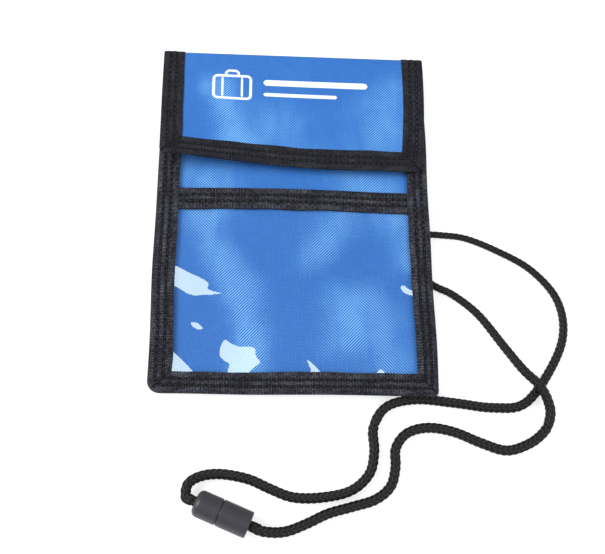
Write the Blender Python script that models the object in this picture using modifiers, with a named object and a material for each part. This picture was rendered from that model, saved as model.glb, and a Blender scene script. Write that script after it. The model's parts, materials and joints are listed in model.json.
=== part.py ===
"""A neck pouch wallet: a flat cloth pouch with a flap and a clear window pocket, on a cord loop that
closes with a breakaway connector.

The sizes below are millimetres. +X runs across the pouch, +Y towards the flap's fold and +Z out of the
front. The origin is the middle of the pouch, on the flat of the back panel. The cord lies flat under the
pouch and beside it, as when the pouch is put down on a table.
"""

import math

import bmesh
import bpy
from mathutils import Matrix, Vector

MM = 0.001
ARC_STEPS = 6

# The pouch, seen from the front
HALF_WIDTH = 67.5
HALF_HEIGHT = 89.0
TAPE_WIDTH = 11.0
TAPE_WALL = 0.7
LEFT_CORNER_RADIUS = 6.0
RIGHT_CORNER_RADIUS = 2.5
PANEL_INSET = TAPE_WALL + 0.4
PANEL_HALF_WIDTH = HALF_WIDTH - PANEL_INSET
POCKET_TOP = 83.0
WINDOW_TOP = 12.0
WINDOW_TAPE_WIDTH = 10.8

# Layers from the back (low, high)
BACK_FLAT = 0.0
BACK_EDGE = 0.25
BACK_FRONT = 0.7
BACK_FLAT_HALF_WIDTH = 54.0
BACK_FLAT_BOTTOM = -75.0
BACK_FLAT_TOP = 66.0
FRONT_PANEL = (2.4, 2.9)
HEM_LEGS = (1.9, 3.4)
WINDOW_SHEET = (4.1, 4.4)
WINDOW_TAPE = (3.75, 4.9)
BODY_TAPE = (-0.6, 5.7)
BODY_TAPE_SLOT = (-0.1, 5.2)
LOOP_PATCH = (3.1, 4.6)
HOOK_PATCH = (4.9, 6.9)
FLAP_TAPE = (6.5, 8.3)
FLAP_PANEL = (7.1, 7.6)
SKIN = 0.2
FOLDED_LIP = 0.4
WINDOW_SKIN = 0.15
HEM_DEPTH = 9.0

# The flap and its fold
FOLD_THICKNESS = 0.5
FOLD_RADIUS = (sum(FLAP_PANEL) - BACK_EDGE - BACK_FRONT) / 4
FOLD_Z = (sum(FLAP_PANEL) + BACK_EDGE + BACK_FRONT) / 4
FOLD_Y = HALF_HEIGHT - FOLD_RADIUS - FOLD_THICKNESS / 2
FLAP_BOTTOM = 24.0
FLAP_CORNER_RADIUS = 3.0
LEAF_GAP = 0.25

# Hook-and-loop patches
PATCH_HALF_WIDTH = 30.0
PATCH_LOW = 40.0
PATCH_HIGH = 60.0
PATCH_CORNER_RADIUS = 2.0

# Threads
THREAD_RADIUS = 0.2
THREAD_GAP = 0.1
OUTER_ROW = 3.8
INNER_ROW = 7.2
ROW_END_GAP = 0.5

# The cord
TABLE_Z = -5.5
THIN_CORD = 1.7
THICK_CORD = 2.45
THICKENING_FROM_Y = -10.0
THICKENING_TO_Y = -100.0
CORD_SIDES_RESOLUTION = 2
SPAN_STEPS = 4
END_GAP = 0.3
SEWN_Y = 80.0
SEWN_OUTER_X = 66.0
SEWN_INNER_X = 53.3
BARTACK_HALF_LENGTH = 2.5
BARTACK_GAP = 0.3
BARTACK_THICKNESS = 0.6
BARTACK_LIFT = 0.2
BEND_Y = -101.0
RELEASE_X = -15.0

# The barrel connector
BARREL_RADIUS = 6.0
BARREL_LENGTH = 25.8
BARREL_SEAM = 11.4
BARREL_GROOVE = 0.5
BARREL_LEFT_END = (-43.1, -137.2)
BARREL_ANGLE = math.radians(-22.8)
BARREL_Z = TABLE_Z + BARREL_RADIUS
BARREL_STEPS = 32
CORD_HOLE = 2.75
STEM_RADIUS = 3.4
STEM_LENGTH = 5.6
STEM_SLOT = 1.0
PLUG_CAVITY = 4.3
SOCKET_LIP = 3.5
SOCKET_CAVITY = 4.1
SOCKET_MOUTH = 4.9
SOCKET_WALL = (20.4, 22.0)
PLUG_BEAD = (3.3, 6.5, 3.8)
SOCKET_BEAD = (17.4, 20.1, 3.5)

# The lie of the cord: x, y and how far it is lifted off the table
RIGHT_STRAND = (
    (53.0, 80.0, 0.0), (50.5, 80.0, 0.0), (47.5, 77.0, 0.0), (46.8, 62.0, 0.0), (46.5, 30.0, 0.0), (50.0, 4.0, 0.0),
    (60.0, -6.0, 0.0), (72.0, -7.0, 0.0), (86.0, -8.5, 0.0), (102.0, -15.0, 0.0), (118.0, -24.5, 0.0),
    (129.5, -39.0, 0.0), (131.5, -56.0, 0.0), (124.5, -73.0, 0.0), (109.5, -91.5, 0.0),
    (94.0, -94.0, 0.0), (76.0, -92.0, 0.0), (57.5, -90.5, 0.0), (43.5, -94.0, 0.0), (37.0, -103.5, 0.0),
    (37.0, -114.5, 0.0), (34.5, -124.5, 0.0), (26.0, -132.0, 0.0), (13.0, -135.0, 0.0),
    (0.0, -135.0, 0.0), (-10.0, -131.5, 0.0), (-20.0, -127.2, 0.0), (-32.0, -125.0, 0.0),
    (-41.0, -126.0, 1.0), (-46.6, -129.6, 2.6),
)
LEFT_STRAND = (
    (-53.0, 80.0, 0.0), (-50.5, 80.0, 0.0), (-46.8, 77.0, 0.0), (-40.0, 63.0, 0.0),
    (-25.0, 44.0, 0.0), (5.0, 18.0, 0.0),
    (40.0, -11.0, 0.0), (66.0, -32.0, 0.0), (78.0, -38.5, 0.0), (90.0, -48.5, 0.0),
    (101.0, -64.5, 1.2), (108.5, -76.5, 3.9), (116.0, -85.0, 4.8), (120.4, -94.0, 1.6),
    (119.6, -101.0, 0.0), (116.0, -106.0, 0.0), (109.0, -110.8, 0.0), (98.5, -113.8, 0.0), (87.0, -110.5, 0.0),
    (74.5, -105.5, 0.0), (62.5, -103.6, 0.0), (52.5, -106.2, 0.0), (47.0, -113.0, 0.0),
    (46.5, -121.5, 0.0), (44.0, -130.0, 0.0), (37.0, -135.8, 0.0), (26.5, -139.0, 0.0),
    (15.5, -142.0, 0.0), (5.5, -146.5, 0.4), (-4.0, -149.8, 1.7),
)

# Colours (red, green, blue, alpha) with roughness
BLUE_CLOTH = ((0.055, 0.245, 0.78, 1.0), 0.75)
BLACK_TAPE = ((0.012, 0.013, 0.016, 1.0), 0.85)
BLACK_CORD = ((0.010, 0.010, 0.012, 1.0), 0.80)
BLACK_PLASTIC = ((0.009, 0.009, 0.010, 1.0), 0.45)
CLEAR_PLASTIC = ((0.75, 0.86, 0.95, 0.30), 0.10)
BLACK_THREAD = ((0.030, 0.031, 0.034, 1.0), 0.70)


def start_scene():
    """An empty scene with one collection for the pouch and a hidden one for cutters."""
    for old in list(bpy.data.objects):
        bpy.data.objects.remove(old)
    part = bpy.data.collections.new("neck_pouch_wallet")
    cutters = bpy.data.collections.new("cutters")
    cutters.hide_render = True
    for group in (part, cutters):
        bpy.context.scene.collection.children.link(group)
    return part, cutters


PART, CUTTERS = start_scene()


def look_material(name, look):
    """A Principled material from a colour and a roughness."""
    colour, roughness = look
    material = bpy.data.materials.new(name)
    material.use_nodes = True
    shader = material.node_tree.nodes["Principled BSDF"]
    shader.inputs["Base Color"].default_value = colour[:3] + (1.0,)
    shader.inputs["Roughness"].default_value = roughness
    shader.inputs["Metallic"].default_value = 0.0
    shader.inputs["Alpha"].default_value = colour[3]
    return material


def add_object(name, data, look, group=None):
    """An object in the pouch's collection, in its own material."""
    thing = bpy.data.objects.new(name, data)
    (group or PART).objects.link(thing)
    if look:
        data.materials.append(look_material(name, look))
    return thing


def mesh_from(bm, name):
    """A mesh with its faces turned outwards, taken from a bmesh in millimetres."""
    bmesh.ops.recalc_face_normals(bm, faces=bm.faces)
    bmesh.ops.scale(bm, vec=(MM, MM, MM), verts=bm.verts)
    mesh = bpy.data.meshes.new(name)
    bm.to_mesh(mesh)
    bm.free()
    return mesh


def arc(centre, radius, start, end, steps=ARC_STEPS):
    """Points on an arc, from one angle to the other in degrees."""
    turns = [math.radians(start + (end - start) * i / steps) for i in range(steps + 1)]
    return [(centre[0] + radius * math.cos(t), centre[1] + radius * math.sin(t)) for t in turns]


def loft_rings(rings, name):
    """A closed mesh through rings of the same number of points, each ring capped at the ends."""
    bm = bmesh.new()
    layers = [[bm.verts.new(point) for point in ring] for ring in rings]
    count = len(layers[0])
    bm.faces.new(layers[0])
    bm.faces.new(layers[-1])
    for low, high in zip(layers, layers[1:]):
        for i in range(count):
            j = (i + 1) % count
            bm.faces.new((low[i], low[j], high[j], high[i]))
    return mesh_from(bm, name)


def plate(name, outline, low, high, look, group=None):
    """A flat plate with an XY outline, from z low to z high."""
    rings = [[(x, y, z) for x, y in outline] for z in (low, high)]
    return add_object(name, loft_rings(rings, name), look, group)


def strip(name, section, half_length, look):
    """A bar along X with a YZ section."""
    rings = [[(x, y, z) for y, z in section] for x in (-half_length, half_length)]
    return add_object(name, loft_rings(rings, name), look)


def cut(thing, cutter):
    """Takes the cutter away from the thing."""
    cutter.display_type = "WIRE"
    cutter.hide_render = True
    boolean = thing.modifiers.new("cut", "BOOLEAN")
    boolean.operation = "DIFFERENCE"
    boolean.solver = "EXACT"
    boolean.object = cutter


def rectangle(half_width, bottom, top):
    return [(-half_width, top), (-half_width, bottom), (half_width, bottom), (half_width, top)]


def cup_outline(half_width, bottom, top, left_radius, right_radius):
    """An outline that runs down the left side, round the bottom and up the right side."""
    left = arc((-half_width + left_radius, bottom + left_radius), left_radius, 180, 270)
    right = arc((half_width - right_radius, bottom + right_radius), right_radius, 270, 360)
    return [(-half_width, top)] + left + right + [(half_width, top)]


def folded_edge(name, corner_radii, bottom, top, layers, slot, look):
    """Binding tape folded over the left, lower and right edges: a front leg, a back leg and a wall."""
    outer = cup_outline(HALF_WIDTH, bottom, top, *corner_radii)
    inner = rectangle(HALF_WIDTH - TAPE_WIDTH, bottom + TAPE_WIDTH, top)
    tape = plate(name, outer + inner[::-1], *layers, look)
    inside = cup_outline(
        HALF_WIDTH - TAPE_WALL, bottom + TAPE_WALL, top + TAPE_WIDTH,
        *[radius - TAPE_WALL for radius in corner_radii],
    )
    cut(tape, plate(name + "_slot", inside, *slot, None, CUTTERS))
    return tape


def thread(name, points, z, closed=False):
    """A run of sewing thread along XY points at one height."""
    curve = bpy.data.curves.new(name, "CURVE")
    curve.dimensions = "3D"
    curve.bevel_depth = THREAD_RADIUS * MM
    curve.bevel_resolution = 0
    curve.use_fill_caps = not closed
    line = curve.splines.new("POLY")
    line.points.add(len(points) - 1)
    line.use_cyclic_u = closed
    for point, (x, y) in zip(line.points, points):
        point.co = (x * MM, y * MM, z * MM, 1.0)
    return add_object(name, curve, BLACK_THREAD)


def thread_height(surface):
    return surface + THREAD_GAP + THREAD_RADIUS


def panel_outline(top):
    """A sheet that fills the pouch inside its binding, up to a height."""
    return cup_outline(
        PANEL_HALF_WIDTH, PANEL_INSET - HALF_HEIGHT, top,
        LEFT_CORNER_RADIUS - PANEL_INSET, RIGHT_CORNER_RADIUS - PANEL_INSET,
    )


def make_back_panel():
    """Cloth whose middle stands a little proud of its sewn edges, so that it lies flat."""
    edge = panel_outline(FOLD_Y - LEAF_GAP)
    flat = cup_outline(BACK_FLAT_HALF_WIDTH, BACK_FLAT_BOTTOM, BACK_FLAT_TOP, 1.0, 1.0)
    rings = [
        [(x, y, z) for x, y in outline]
        for outline, z in ((flat, BACK_FLAT), (edge, BACK_EDGE), (edge, BACK_FRONT))
    ]
    return add_object("back_panel", loft_rings(rings, "back_panel"), BLUE_CLOTH)


def make_front_panel():
    return plate("front_panel", panel_outline(POCKET_TOP), *FRONT_PANEL, BLUE_CLOTH)


def hairpin_section(edge_y, depth, layers, core, skin):
    """The section of a tape folded over an edge at edge_y, with its legs either side of the core."""
    low, high = layers
    inner_low, inner_high = core[0] - skin, core[1] + skin
    return [
        (edge_y - depth, low), (edge_y + skin + FOLDED_LIP, low), (edge_y + skin + FOLDED_LIP, high),
        (edge_y - depth, high), (edge_y - depth, inner_high), (edge_y + skin, inner_high),
        (edge_y + skin, inner_low), (edge_y - depth, inner_low),
    ]


def make_pocket_hem():
    """Tape folded over the mouth of the main pocket, under the flap."""
    section = hairpin_section(POCKET_TOP, HEM_DEPTH, HEM_LEGS, FRONT_PANEL, SKIN)
    return strip("pocket_hem", section, PANEL_HALF_WIDTH, BLACK_TAPE)


def make_window_sheet():
    return plate("window_sheet", panel_outline(WINDOW_TOP), *WINDOW_SHEET, CLEAR_PLASTIC)


def make_window_tape():
    """Tape folded over the mouth of the window pocket."""
    depth = WINDOW_TAPE_WIDTH - FOLDED_LIP - SKIN
    section = hairpin_section(WINDOW_TOP, depth, WINDOW_TAPE, WINDOW_SHEET, WINDOW_SKIN)
    return strip("window_tape", section, PANEL_HALF_WIDTH, BLACK_TAPE)


def make_body_binding():
    return folded_edge(
        "body_binding", (LEFT_CORNER_RADIUS, RIGHT_CORNER_RADIUS), -HALF_HEIGHT, FOLD_Y - LEAF_GAP,
        BODY_TAPE, BODY_TAPE_SLOT, BLACK_TAPE,
    )


def make_flap():
    """The flap's cloth, the tape round it and the strip of cloth that bends at the fold."""
    radius = FLAP_CORNER_RADIUS - PANEL_INSET
    outline = cup_outline(
        PANEL_HALF_WIDTH, FLAP_BOTTOM + PANEL_INSET, FOLD_Y - LEAF_GAP, radius, radius
    )
    plate("flap_panel", outline, *FLAP_PANEL, BLUE_CLOTH)
    slot = (FLAP_PANEL[0] - SKIN, FLAP_PANEL[1] + SKIN)
    folded_edge(
        "flap_binding", (FLAP_CORNER_RADIUS, FLAP_CORNER_RADIUS), FLAP_BOTTOM, FOLD_Y - LEAF_GAP,
        FLAP_TAPE, slot, BLACK_TAPE,
    )
    outside = arc((FOLD_Y, FOLD_Z), FOLD_RADIUS + FOLD_THICKNESS / 2, -90, 90, 2 * ARC_STEPS)
    inside = arc((FOLD_Y, FOLD_Z), FOLD_RADIUS - FOLD_THICKNESS / 2, 90, -90, 2 * ARC_STEPS)
    strip("flap_fold", outside + inside, PANEL_HALF_WIDTH, BLUE_CLOTH)


def patch_outline(inset=0.0):
    """The outline of a hook-and-loop patch, with rounded corners."""
    radius = PATCH_CORNER_RADIUS
    x, low, high = PATCH_HALF_WIDTH - inset, PATCH_LOW + inset, PATCH_HIGH - inset
    corners = (
        ((-x + radius, low + radius), 180), ((x - radius, low + radius), 270),
        ((x - radius, high - radius), 0), ((-x + radius, high - radius), 90),
    )
    return [p for centre, turn in corners for p in arc(centre, radius, turn, turn + 90, 3)]


def make_patches():
    """The loop patch on the front panel and the hook patch under the flap."""
    plate("loop_patch", patch_outline(), *LOOP_PATCH, BLACK_TAPE)
    plate("hook_patch", patch_outline(), *HOOK_PATCH, BLACK_TAPE)


def thread_path(bottom, top, inset):
    """A stitch row that follows a binding at a distance from its outer edge."""
    return rectangle(HALF_WIDTH - inset, bottom + inset, top)


def make_threads():
    """Two stitch rows on each tape."""
    top = FOLD_Y - LEAF_GAP
    for row, inset in (("outer", OUTER_ROW), ("inner", INNER_ROW)):
        body = thread_path(-HALF_HEIGHT, top, inset)
        flap = thread_path(FLAP_BOTTOM, top, inset)
        thread("body_thread_" + row, body, thread_height(BODY_TAPE[1]))
        thread("flap_thread_" + row, flap, thread_height(FLAP_TAPE[1]))
    for row, y in (("upper", WINDOW_TOP - OUTER_ROW + FOLDED_LIP), ("lower", WINDOW_TOP - INNER_ROW)):
        x = HALF_WIDTH - TAPE_WIDTH - ROW_END_GAP
        thread("window_thread_" + row, [(-x, y), (x, y)], thread_height(WINDOW_TAPE[1]))


def cord_radius(y):
    """The cord is drawn thin where it leaves the pouch and swells along the loop."""
    share = (THICKENING_FROM_Y - y) / (THICKENING_FROM_Y - THICKENING_TO_Y)
    return THIN_CORD + (THICK_CORD - THIN_CORD) * min(max(share, 0.0), 1.0)


def barrel_point(distance):
    """A point on the connector's axis, at a distance from its left end."""
    x, y = BARREL_LEFT_END
    step = Vector((math.cos(BARREL_ANGLE), math.sin(BARREL_ANGLE), 0.0))
    return Vector((x, y, BARREL_Z)) + step * distance


def strand_points(lie, entry):
    """The centre line's control points: the lie on the table, then the way into the connector."""
    points = [Vector((x, y, TABLE_Z + cord_radius(y) + lift)) for x, y, lift in lie]
    return points + [barrel_point(distance) for distance in entry]


def smooth_line(points):
    """A Catmull-Rom curve through the points."""
    padded = [2 * points[0] - points[1]] + points + [2 * points[-1] - points[-2]]
    line = []
    for a, b, c, d in zip(padded, padded[1:], padded[2:], padded[3:]):
        for step in range(SPAN_STEPS):
            t = step / SPAN_STEPS
            line.append(0.5 * (
                2 * b + (c - a) * t + (2 * a - 5 * b + 4 * c - d) * t**2
                + (3 * b - a - 3 * c + d) * t**3
            ))
    return line + [points[-1]]


def lengths_of(line):
    """The distance along the line to each of its points."""
    total = [0.0]
    for a, b in zip(line, line[1:]):
        total.append(total[-1] + (b - a).length)
    return total


def crossing_lengths(line, axis, value):
    """How far along the line each pass down through the value on that axis lies."""
    total = lengths_of(line)
    found = []
    for i in range(1, len(line)):
        before, after = line[i - 1][axis], line[i][axis]
        if before > value >= after:
            share = (before - value) / (before - after)
            found.append(total[i - 1] + (total[i] - total[i - 1]) * share)
    return found


def stretch(line, start, end):
    """The part of the line between two lengths."""
    total = lengths_of(line)

    def point_at(length):
        for i in range(1, len(line)):
            if total[i] >= length:
                share = (length - total[i - 1]) / (total[i] - total[i - 1])
                return line[i - 1].lerp(line[i], share)
        return line[-1]

    inner = [p for p, length in zip(line, total) if start + 0.5 < length < end - 0.5]
    return [point_at(start)] + inner + [point_at(end)]


def cord(name, line, ball_end=False):
    """A length of cord along a line, with a ball at its end where it meets a bend."""
    stations = [(point, cord_radius(point.y)) for point in line]
    if ball_end:
        end, radius = stations[-1]
        onward = (line[-1] - line[-2]).normalized()
        for turn in (25, 50, 75, 87):
            angle = math.radians(turn)
            stations.append((end + onward * radius * math.sin(angle), radius * math.cos(angle)))
    curve = bpy.data.curves.new(name, "CURVE")
    curve.dimensions = "3D"
    curve.bevel_depth = MM
    curve.bevel_resolution = CORD_SIDES_RESOLUTION
    curve.use_fill_caps = True
    spline = curve.splines.new("POLY")
    spline.points.add(len(stations) - 1)
    for point, (place, radius) in zip(spline.points, stations):
        point.co = (*(place * MM), 1.0)
        point.radius = radius
    return add_object(name, curve, BLACK_CORD)


def make_sewn_end(side, sign):
    """The end of the cord, sewn to the back of the pouch along the line it swings about."""
    z = TABLE_Z + THIN_CORD
    line = [Vector((sign * x, SEWN_Y, z)) for x in (SEWN_OUTER_X, SEWN_INNER_X)]
    cord("cord_end_" + side, line)
    inner_radius = THIN_CORD + BARTACK_GAP
    outside = arc((SEWN_Y, z), inner_radius + BARTACK_THICKNESS, 180, 360, 2 * ARC_STEPS)
    inside = arc((SEWN_Y, z), inner_radius, 360, 180, 2 * ARC_STEPS)
    foot = BODY_TAPE[0] - BARTACK_LIFT
    section = [(outside[0][0], foot)] + outside + [(outside[-1][0], foot), (inside[0][0], foot)]
    section += inside + [(inside[-1][0], foot)]
    tack = strip("bartack_" + side, section, BARTACK_HALF_LENGTH, BLACK_THREAD)
    tack.location.x = sign * (HALF_WIDTH - TAPE_WIDTH / 2) * MM


def make_cords():
    """Both strands, each in the lengths that move on their own."""
    for side, sign in (("left", -1), ("right", 1)):
        make_sewn_end(side, sign)
    right = smooth_line(strand_points(RIGHT_STRAND, (-4.4, -1.5, PLUG_BEAD[0] - 0.2)))
    left = smooth_line(
        strand_points(LEFT_STRAND, (BARREL_LENGTH + 6.5, BARREL_LENGTH, SOCKET_BEAD[1] + 0.2))
    )
    bend = crossing_lengths(right, 1, BEND_Y)[0]
    release = crossing_lengths(right, 0, RELEASE_X)[-1]
    past_bend = THICK_CORD + END_GAP
    cord("cord_upper_right", stretch(right, 0.0, bend), ball_end=True)
    cord("cord_lower_right", stretch(right, bend + past_bend, release - END_GAP / 2))
    cord("cord_plug_end", stretch(right, release + END_GAP / 2, lengths_of(right)[-1]))
    bend = crossing_lengths(left, 1, BEND_Y)[0]
    cord("cord_upper_left", stretch(left, 0.0, bend), ball_end=True)
    cord("cord_lower_left", stretch(left, bend + past_bend, lengths_of(left)[-1]))


def turned(name, profile, look, closed=False):
    """A round piece on the connector's axis, from a profile of radius and distance along it."""
    bm = bmesh.new()
    points = [bm.verts.new((radius * MM, 0.0, distance * MM)) for radius, distance in profile]
    ends = points[1:] + points[:1] if closed else points[1:]
    for a, b in zip(points, ends):
        bm.edges.new((a, b))
    mesh = bpy.data.meshes.new(name)
    bm.to_mesh(mesh)
    bm.free()
    piece = add_object(name, mesh, look)
    screw = piece.modifiers.new("turn", "SCREW")
    screw.steps = BARREL_STEPS
    screw.render_steps = BARREL_STEPS
    screw.use_merge_vertices = True
    screw.merge_threshold = 0.00001
    screw.use_smooth_shade = False
    piece.location = barrel_point(0.0) * MM
    turn = Matrix.Rotation(BARREL_ANGLE, 4, "Z") @ Matrix.Rotation(math.pi / 2, 4, "Y")
    piece.rotation_euler = turn.to_euler()
    return piece


def make_plug():
    """The left half: a rounded shell with a split stem that snaps into the socket."""
    tip = BARREL_SEAM + STEM_LENGTH
    rounding = arc((BARREL_RADIUS - 2.5, 2.5), 2.5, 0, -90)
    profile = [(0.0, tip), (STEM_RADIUS - 0.5, tip), (STEM_RADIUS, tip - 0.7)]
    profile += [(STEM_RADIUS, BARREL_SEAM), (BARREL_RADIUS - 0.5, BARREL_SEAM)]
    profile += [(BARREL_RADIUS, BARREL_SEAM - 0.5)] + rounding
    profile += [(CORD_HOLE, 0.0), (CORD_HOLE, 3.0), (PLUG_CAVITY, 3.0), (PLUG_CAVITY, 8.4), (0.0, 8.4)]
    shell = turned("plug_shell", profile, BLACK_PLASTIC)
    half = STEM_SLOT / 2
    slot = plate(
        "stem_slot", [(-half, -9.0), (half, -9.0), (half, 9.0), (-half, 9.0)],
        BARREL_SEAM + 0.6, tip + 3.0, None, CUTTERS,
    )
    slot.location = shell.location
    slot.rotation_euler = shell.rotation_euler
    cut(shell, slot)


def make_socket():
    """The right half: a shell with a bore for the stem and an open mouth round the cord."""
    front = BARREL_SEAM + BARREL_GROOVE
    low, high = SOCKET_WALL
    profile = [
        (BARREL_RADIUS - 0.4, BARREL_LENGTH), (BARREL_RADIUS, BARREL_LENGTH - 0.4),
        (BARREL_RADIUS, front + 0.5), (BARREL_RADIUS - 0.5, front), (SOCKET_LIP, front),
        (SOCKET_LIP, front + 1.5), (SOCKET_CAVITY, front + 2.1), (SOCKET_CAVITY, low),
        (CORD_HOLE, low), (CORD_HOLE, high), (SOCKET_MOUTH, high + 0.4), (SOCKET_MOUTH, BARREL_LENGTH),
    ]
    turned("socket_shell", profile, BLACK_PLASTIC, closed=True)


def make_bead(name, low, high, radius):
    """The melted end of the cord, wider than the hole that it is pulled against."""
    edge = 0.6
    profile = [
        (0.0, high), (radius - edge, high), (radius, high - edge), (radius, low + edge),
        (radius - edge, low), (0.0, low),
    ]
    turned(name, profile, BLACK_CORD)


def shade_round_pieces():
    """Smooth shading on the turned pieces, with their edges kept sharp."""
    for name in ("plug_shell", "socket_shell", "plug_bead", "socket_bead"):
        mesh = bpy.data.objects[name].data
        mesh.shade_smooth()
        mesh.set_sharp_from_angle(angle=math.radians(35))


def make_pouch():
    make_back_panel()
    make_front_panel()
    make_pocket_hem()
    make_window_sheet()
    make_window_tape()
    make_body_binding()
    make_flap()
    make_patches()
    make_threads()


def make_lanyard():
    make_cords()
    make_plug()
    make_socket()
    make_bead("plug_bead", *PLUG_BEAD)
    make_bead("socket_bead", *SOCKET_BEAD)
    shade_round_pieces()


make_pouch()
make_lanyard()
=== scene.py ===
"""The looks of the neck pouch wallet: cloth, ribbed tape, clear window, stitches, braided cord and connector.

Lengths are millimetres until a mesh is made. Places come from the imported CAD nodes. The pouch's layers are
laid out flat, brought closer together by settle(), and then draped by drape_body() or drape_flap().
"""

import json
import math

import bpy
import numpy as np
from mathutils import Matrix, Vector


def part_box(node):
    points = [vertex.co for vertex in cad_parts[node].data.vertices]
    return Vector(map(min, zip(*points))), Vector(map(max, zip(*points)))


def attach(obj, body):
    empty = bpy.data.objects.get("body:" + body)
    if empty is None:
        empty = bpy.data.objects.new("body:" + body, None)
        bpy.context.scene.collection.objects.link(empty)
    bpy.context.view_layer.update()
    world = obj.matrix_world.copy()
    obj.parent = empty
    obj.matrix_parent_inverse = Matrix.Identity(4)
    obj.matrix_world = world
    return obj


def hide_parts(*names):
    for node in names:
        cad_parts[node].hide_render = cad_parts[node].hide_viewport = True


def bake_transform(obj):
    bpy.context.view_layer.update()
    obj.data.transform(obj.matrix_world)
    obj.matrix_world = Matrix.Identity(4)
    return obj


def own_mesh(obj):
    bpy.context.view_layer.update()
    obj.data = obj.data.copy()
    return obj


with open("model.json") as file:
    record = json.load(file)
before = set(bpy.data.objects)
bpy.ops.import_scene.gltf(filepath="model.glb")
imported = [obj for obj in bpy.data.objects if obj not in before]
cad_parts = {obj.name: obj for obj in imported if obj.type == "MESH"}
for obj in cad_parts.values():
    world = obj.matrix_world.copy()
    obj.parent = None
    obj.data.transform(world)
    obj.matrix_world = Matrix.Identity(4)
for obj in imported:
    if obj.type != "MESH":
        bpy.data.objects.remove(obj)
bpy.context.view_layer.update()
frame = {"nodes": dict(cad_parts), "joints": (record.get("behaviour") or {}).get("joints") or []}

MM = 0.001

# How far the soft layers are pressed together, against the CAD's separate plates
PRESSED = 0.7

# Tape
TAPE_THICKNESS = 0.42
TAPE_STEP = 0.7
STITCH_PITCH = 3.1
STITCH_LENGTH = 2.35
STITCH_RADIUS = 0.23
STITCH_TILT = 0.05
STITCH_PROUD = 0.02
STITCH_CLEAR = 12.0
TUCK_LENGTH = 2.4
TUCK_INSET = 0.8
RIB_PITCH = 0.72

# Cloth
CLOTH_THICKNESS = 0.42
CLOTH_STEP = 1.6
EDGE_INSET = 3.0
BACK_RAISE = 0.1
FOLD_FOOT = 2.5
JOIN_GAP = 0.05
WEAVE_PERIOD = 1.45

# Window sheet, with the share of light it reflects when clear and in a dent
WINDOW_THICKNESS = 0.22
WINDOW_STEP = 0.5
WINDOW_SLACK = 0.15
CLEAR_SHINE = 0.018
DENT_SHINE = 0.45

# Hook and loop pile, and print
PILE_STEP = 0.6
PRINT_STEP = 0.8
PRINT_THICKNESS = 0.10

# Cord and its braid, the place where the right strand's last length starts, and the bartack over its sewn
# ends
CAD_CORD_SIDES = 8
CORD_STEP = 0.36
CORD_COLUMNS = 8
CORD_SIDES = 40
GRAIN_PITCH = 2.6
GRAIN_LEAN = 0.95
GRAIN_DEPTH = 0.26
PULL_FROM = 25.0
CORD_SLOT = "cord_lower_left"
BARTACK_THREAD = 0.23
BARTACK_PITCH = 0.5
BARTACK_SIDES = 6

# Connector
BARREL_STEPS = 96
BARREL_LENGTH = 25.8
BARREL_RADIUS = 6.0
BARREL_SEAM = 11.4
SHOULDER = 2.6
CORD_HOLE = 2.75
PRONG_GAP = 1.0

# CAD threads
THREAD_HALF = 0.2

# How the pouch and its flap lie
CORNER_SAG = 3.6
FACE_WAVE = 0.22
EDGE_WANDER = 0.35
MOUTH_WAVE = 0.45
BOTTOM_DROP = 0.8
FLAP_LIFT = 1.3
FLAP_CORNER_LIFT = 5.6
FLAP_WAVE = 0.40
FLAP_CREEP = -1.6
FLAP_CORNER_CREEP = 4.6

# Light
WHITE_LEVEL = 1.25
LAMP_PLACE = np.array((-260.0, 640.0, 900.0))
CAMERA_PLACE = (-0.02199, -0.16676, 0.38529)
CAMERA_LOOK = (0.0641, 0.3294, -0.9420)
CAMERA_UP = (-0.0194, 0.9442, 0.3289)
CAMERA_LENS = 50.47


# ---- places from the CAD

def node_box(name):
    """A CAD node's lowest and highest corners in millimetres."""
    return [np.array(corner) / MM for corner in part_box(name)]


def joint_place(name):
    """A point on a joint's axis in millimetres."""
    return np.array(next(j for j in frame["joints"] if j["name"] == name)["pos_m"]) / MM


BODY_LOW, BODY_HIGH = node_box("body_binding")
FLAP_LOW, FLAP_HIGH = node_box("flap_binding")
FOLD_HIGH = node_box("flap_fold")[1]
FOLD_AXIS = joint_place("flap_hinge")
SWING_AXIS = joint_place("lanyard_swing")
BEND_AXIS = joint_place("lanyard_fold")
HALF_WIDTH = BODY_HIGH[0]
TAPE_WIDTH = HALF_WIDTH - node_box("window_thread_upper")[1][0] - 0.5
STITCH_ROWS = tuple(
    HALF_WIDTH - node_box(name)[1][0] + THREAD_HALF
    for name in ("body_thread_outer", "body_thread_inner")
)
BARREL_START = joint_place("plug_swivel")
BARREL_AXIS = np.array(next(j for j in frame["joints"] if j["name"] == "plug_swivel")["axis"])
TABLE = node_box("cord_lower_right")[0][2]


# ---- small maths

def smooth(value, low=0.0, high=1.0):
    """0 below low, 1 above high and a smooth step between."""
    t = np.clip((np.asarray(value, float) - low) / (high - low), 0.0, 1.0)
    return t * t * (3.0 - 2.0 * t)


def unit(vectors):
    return vectors / np.maximum(np.linalg.norm(vectors, axis=-1, keepdims=True), 1e-12)


def ripple(x, y, seed, scale):
    """A smooth random-looking field from -1 to 1: a few waves at fixed odd angles."""
    draw = np.random.default_rng(seed)
    total = np.zeros(np.broadcast(x, y).shape)
    for _ in range(7):
        angle, phase, size = draw.uniform(0, math.pi), draw.uniform(0, 2 * math.pi), draw.uniform(0.6, 1.7)
        wave = 2 * math.pi / (scale * size)
        total = total + np.sin(wave * (x * math.cos(angle) + y * math.sin(angle)) + phase)
    return total / 4.0


def settle(z):
    """A CAD height, brought closer to the back of the pouch."""
    return BODY_LOW[2] + PRESSED * (z - BODY_LOW[2])


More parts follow.
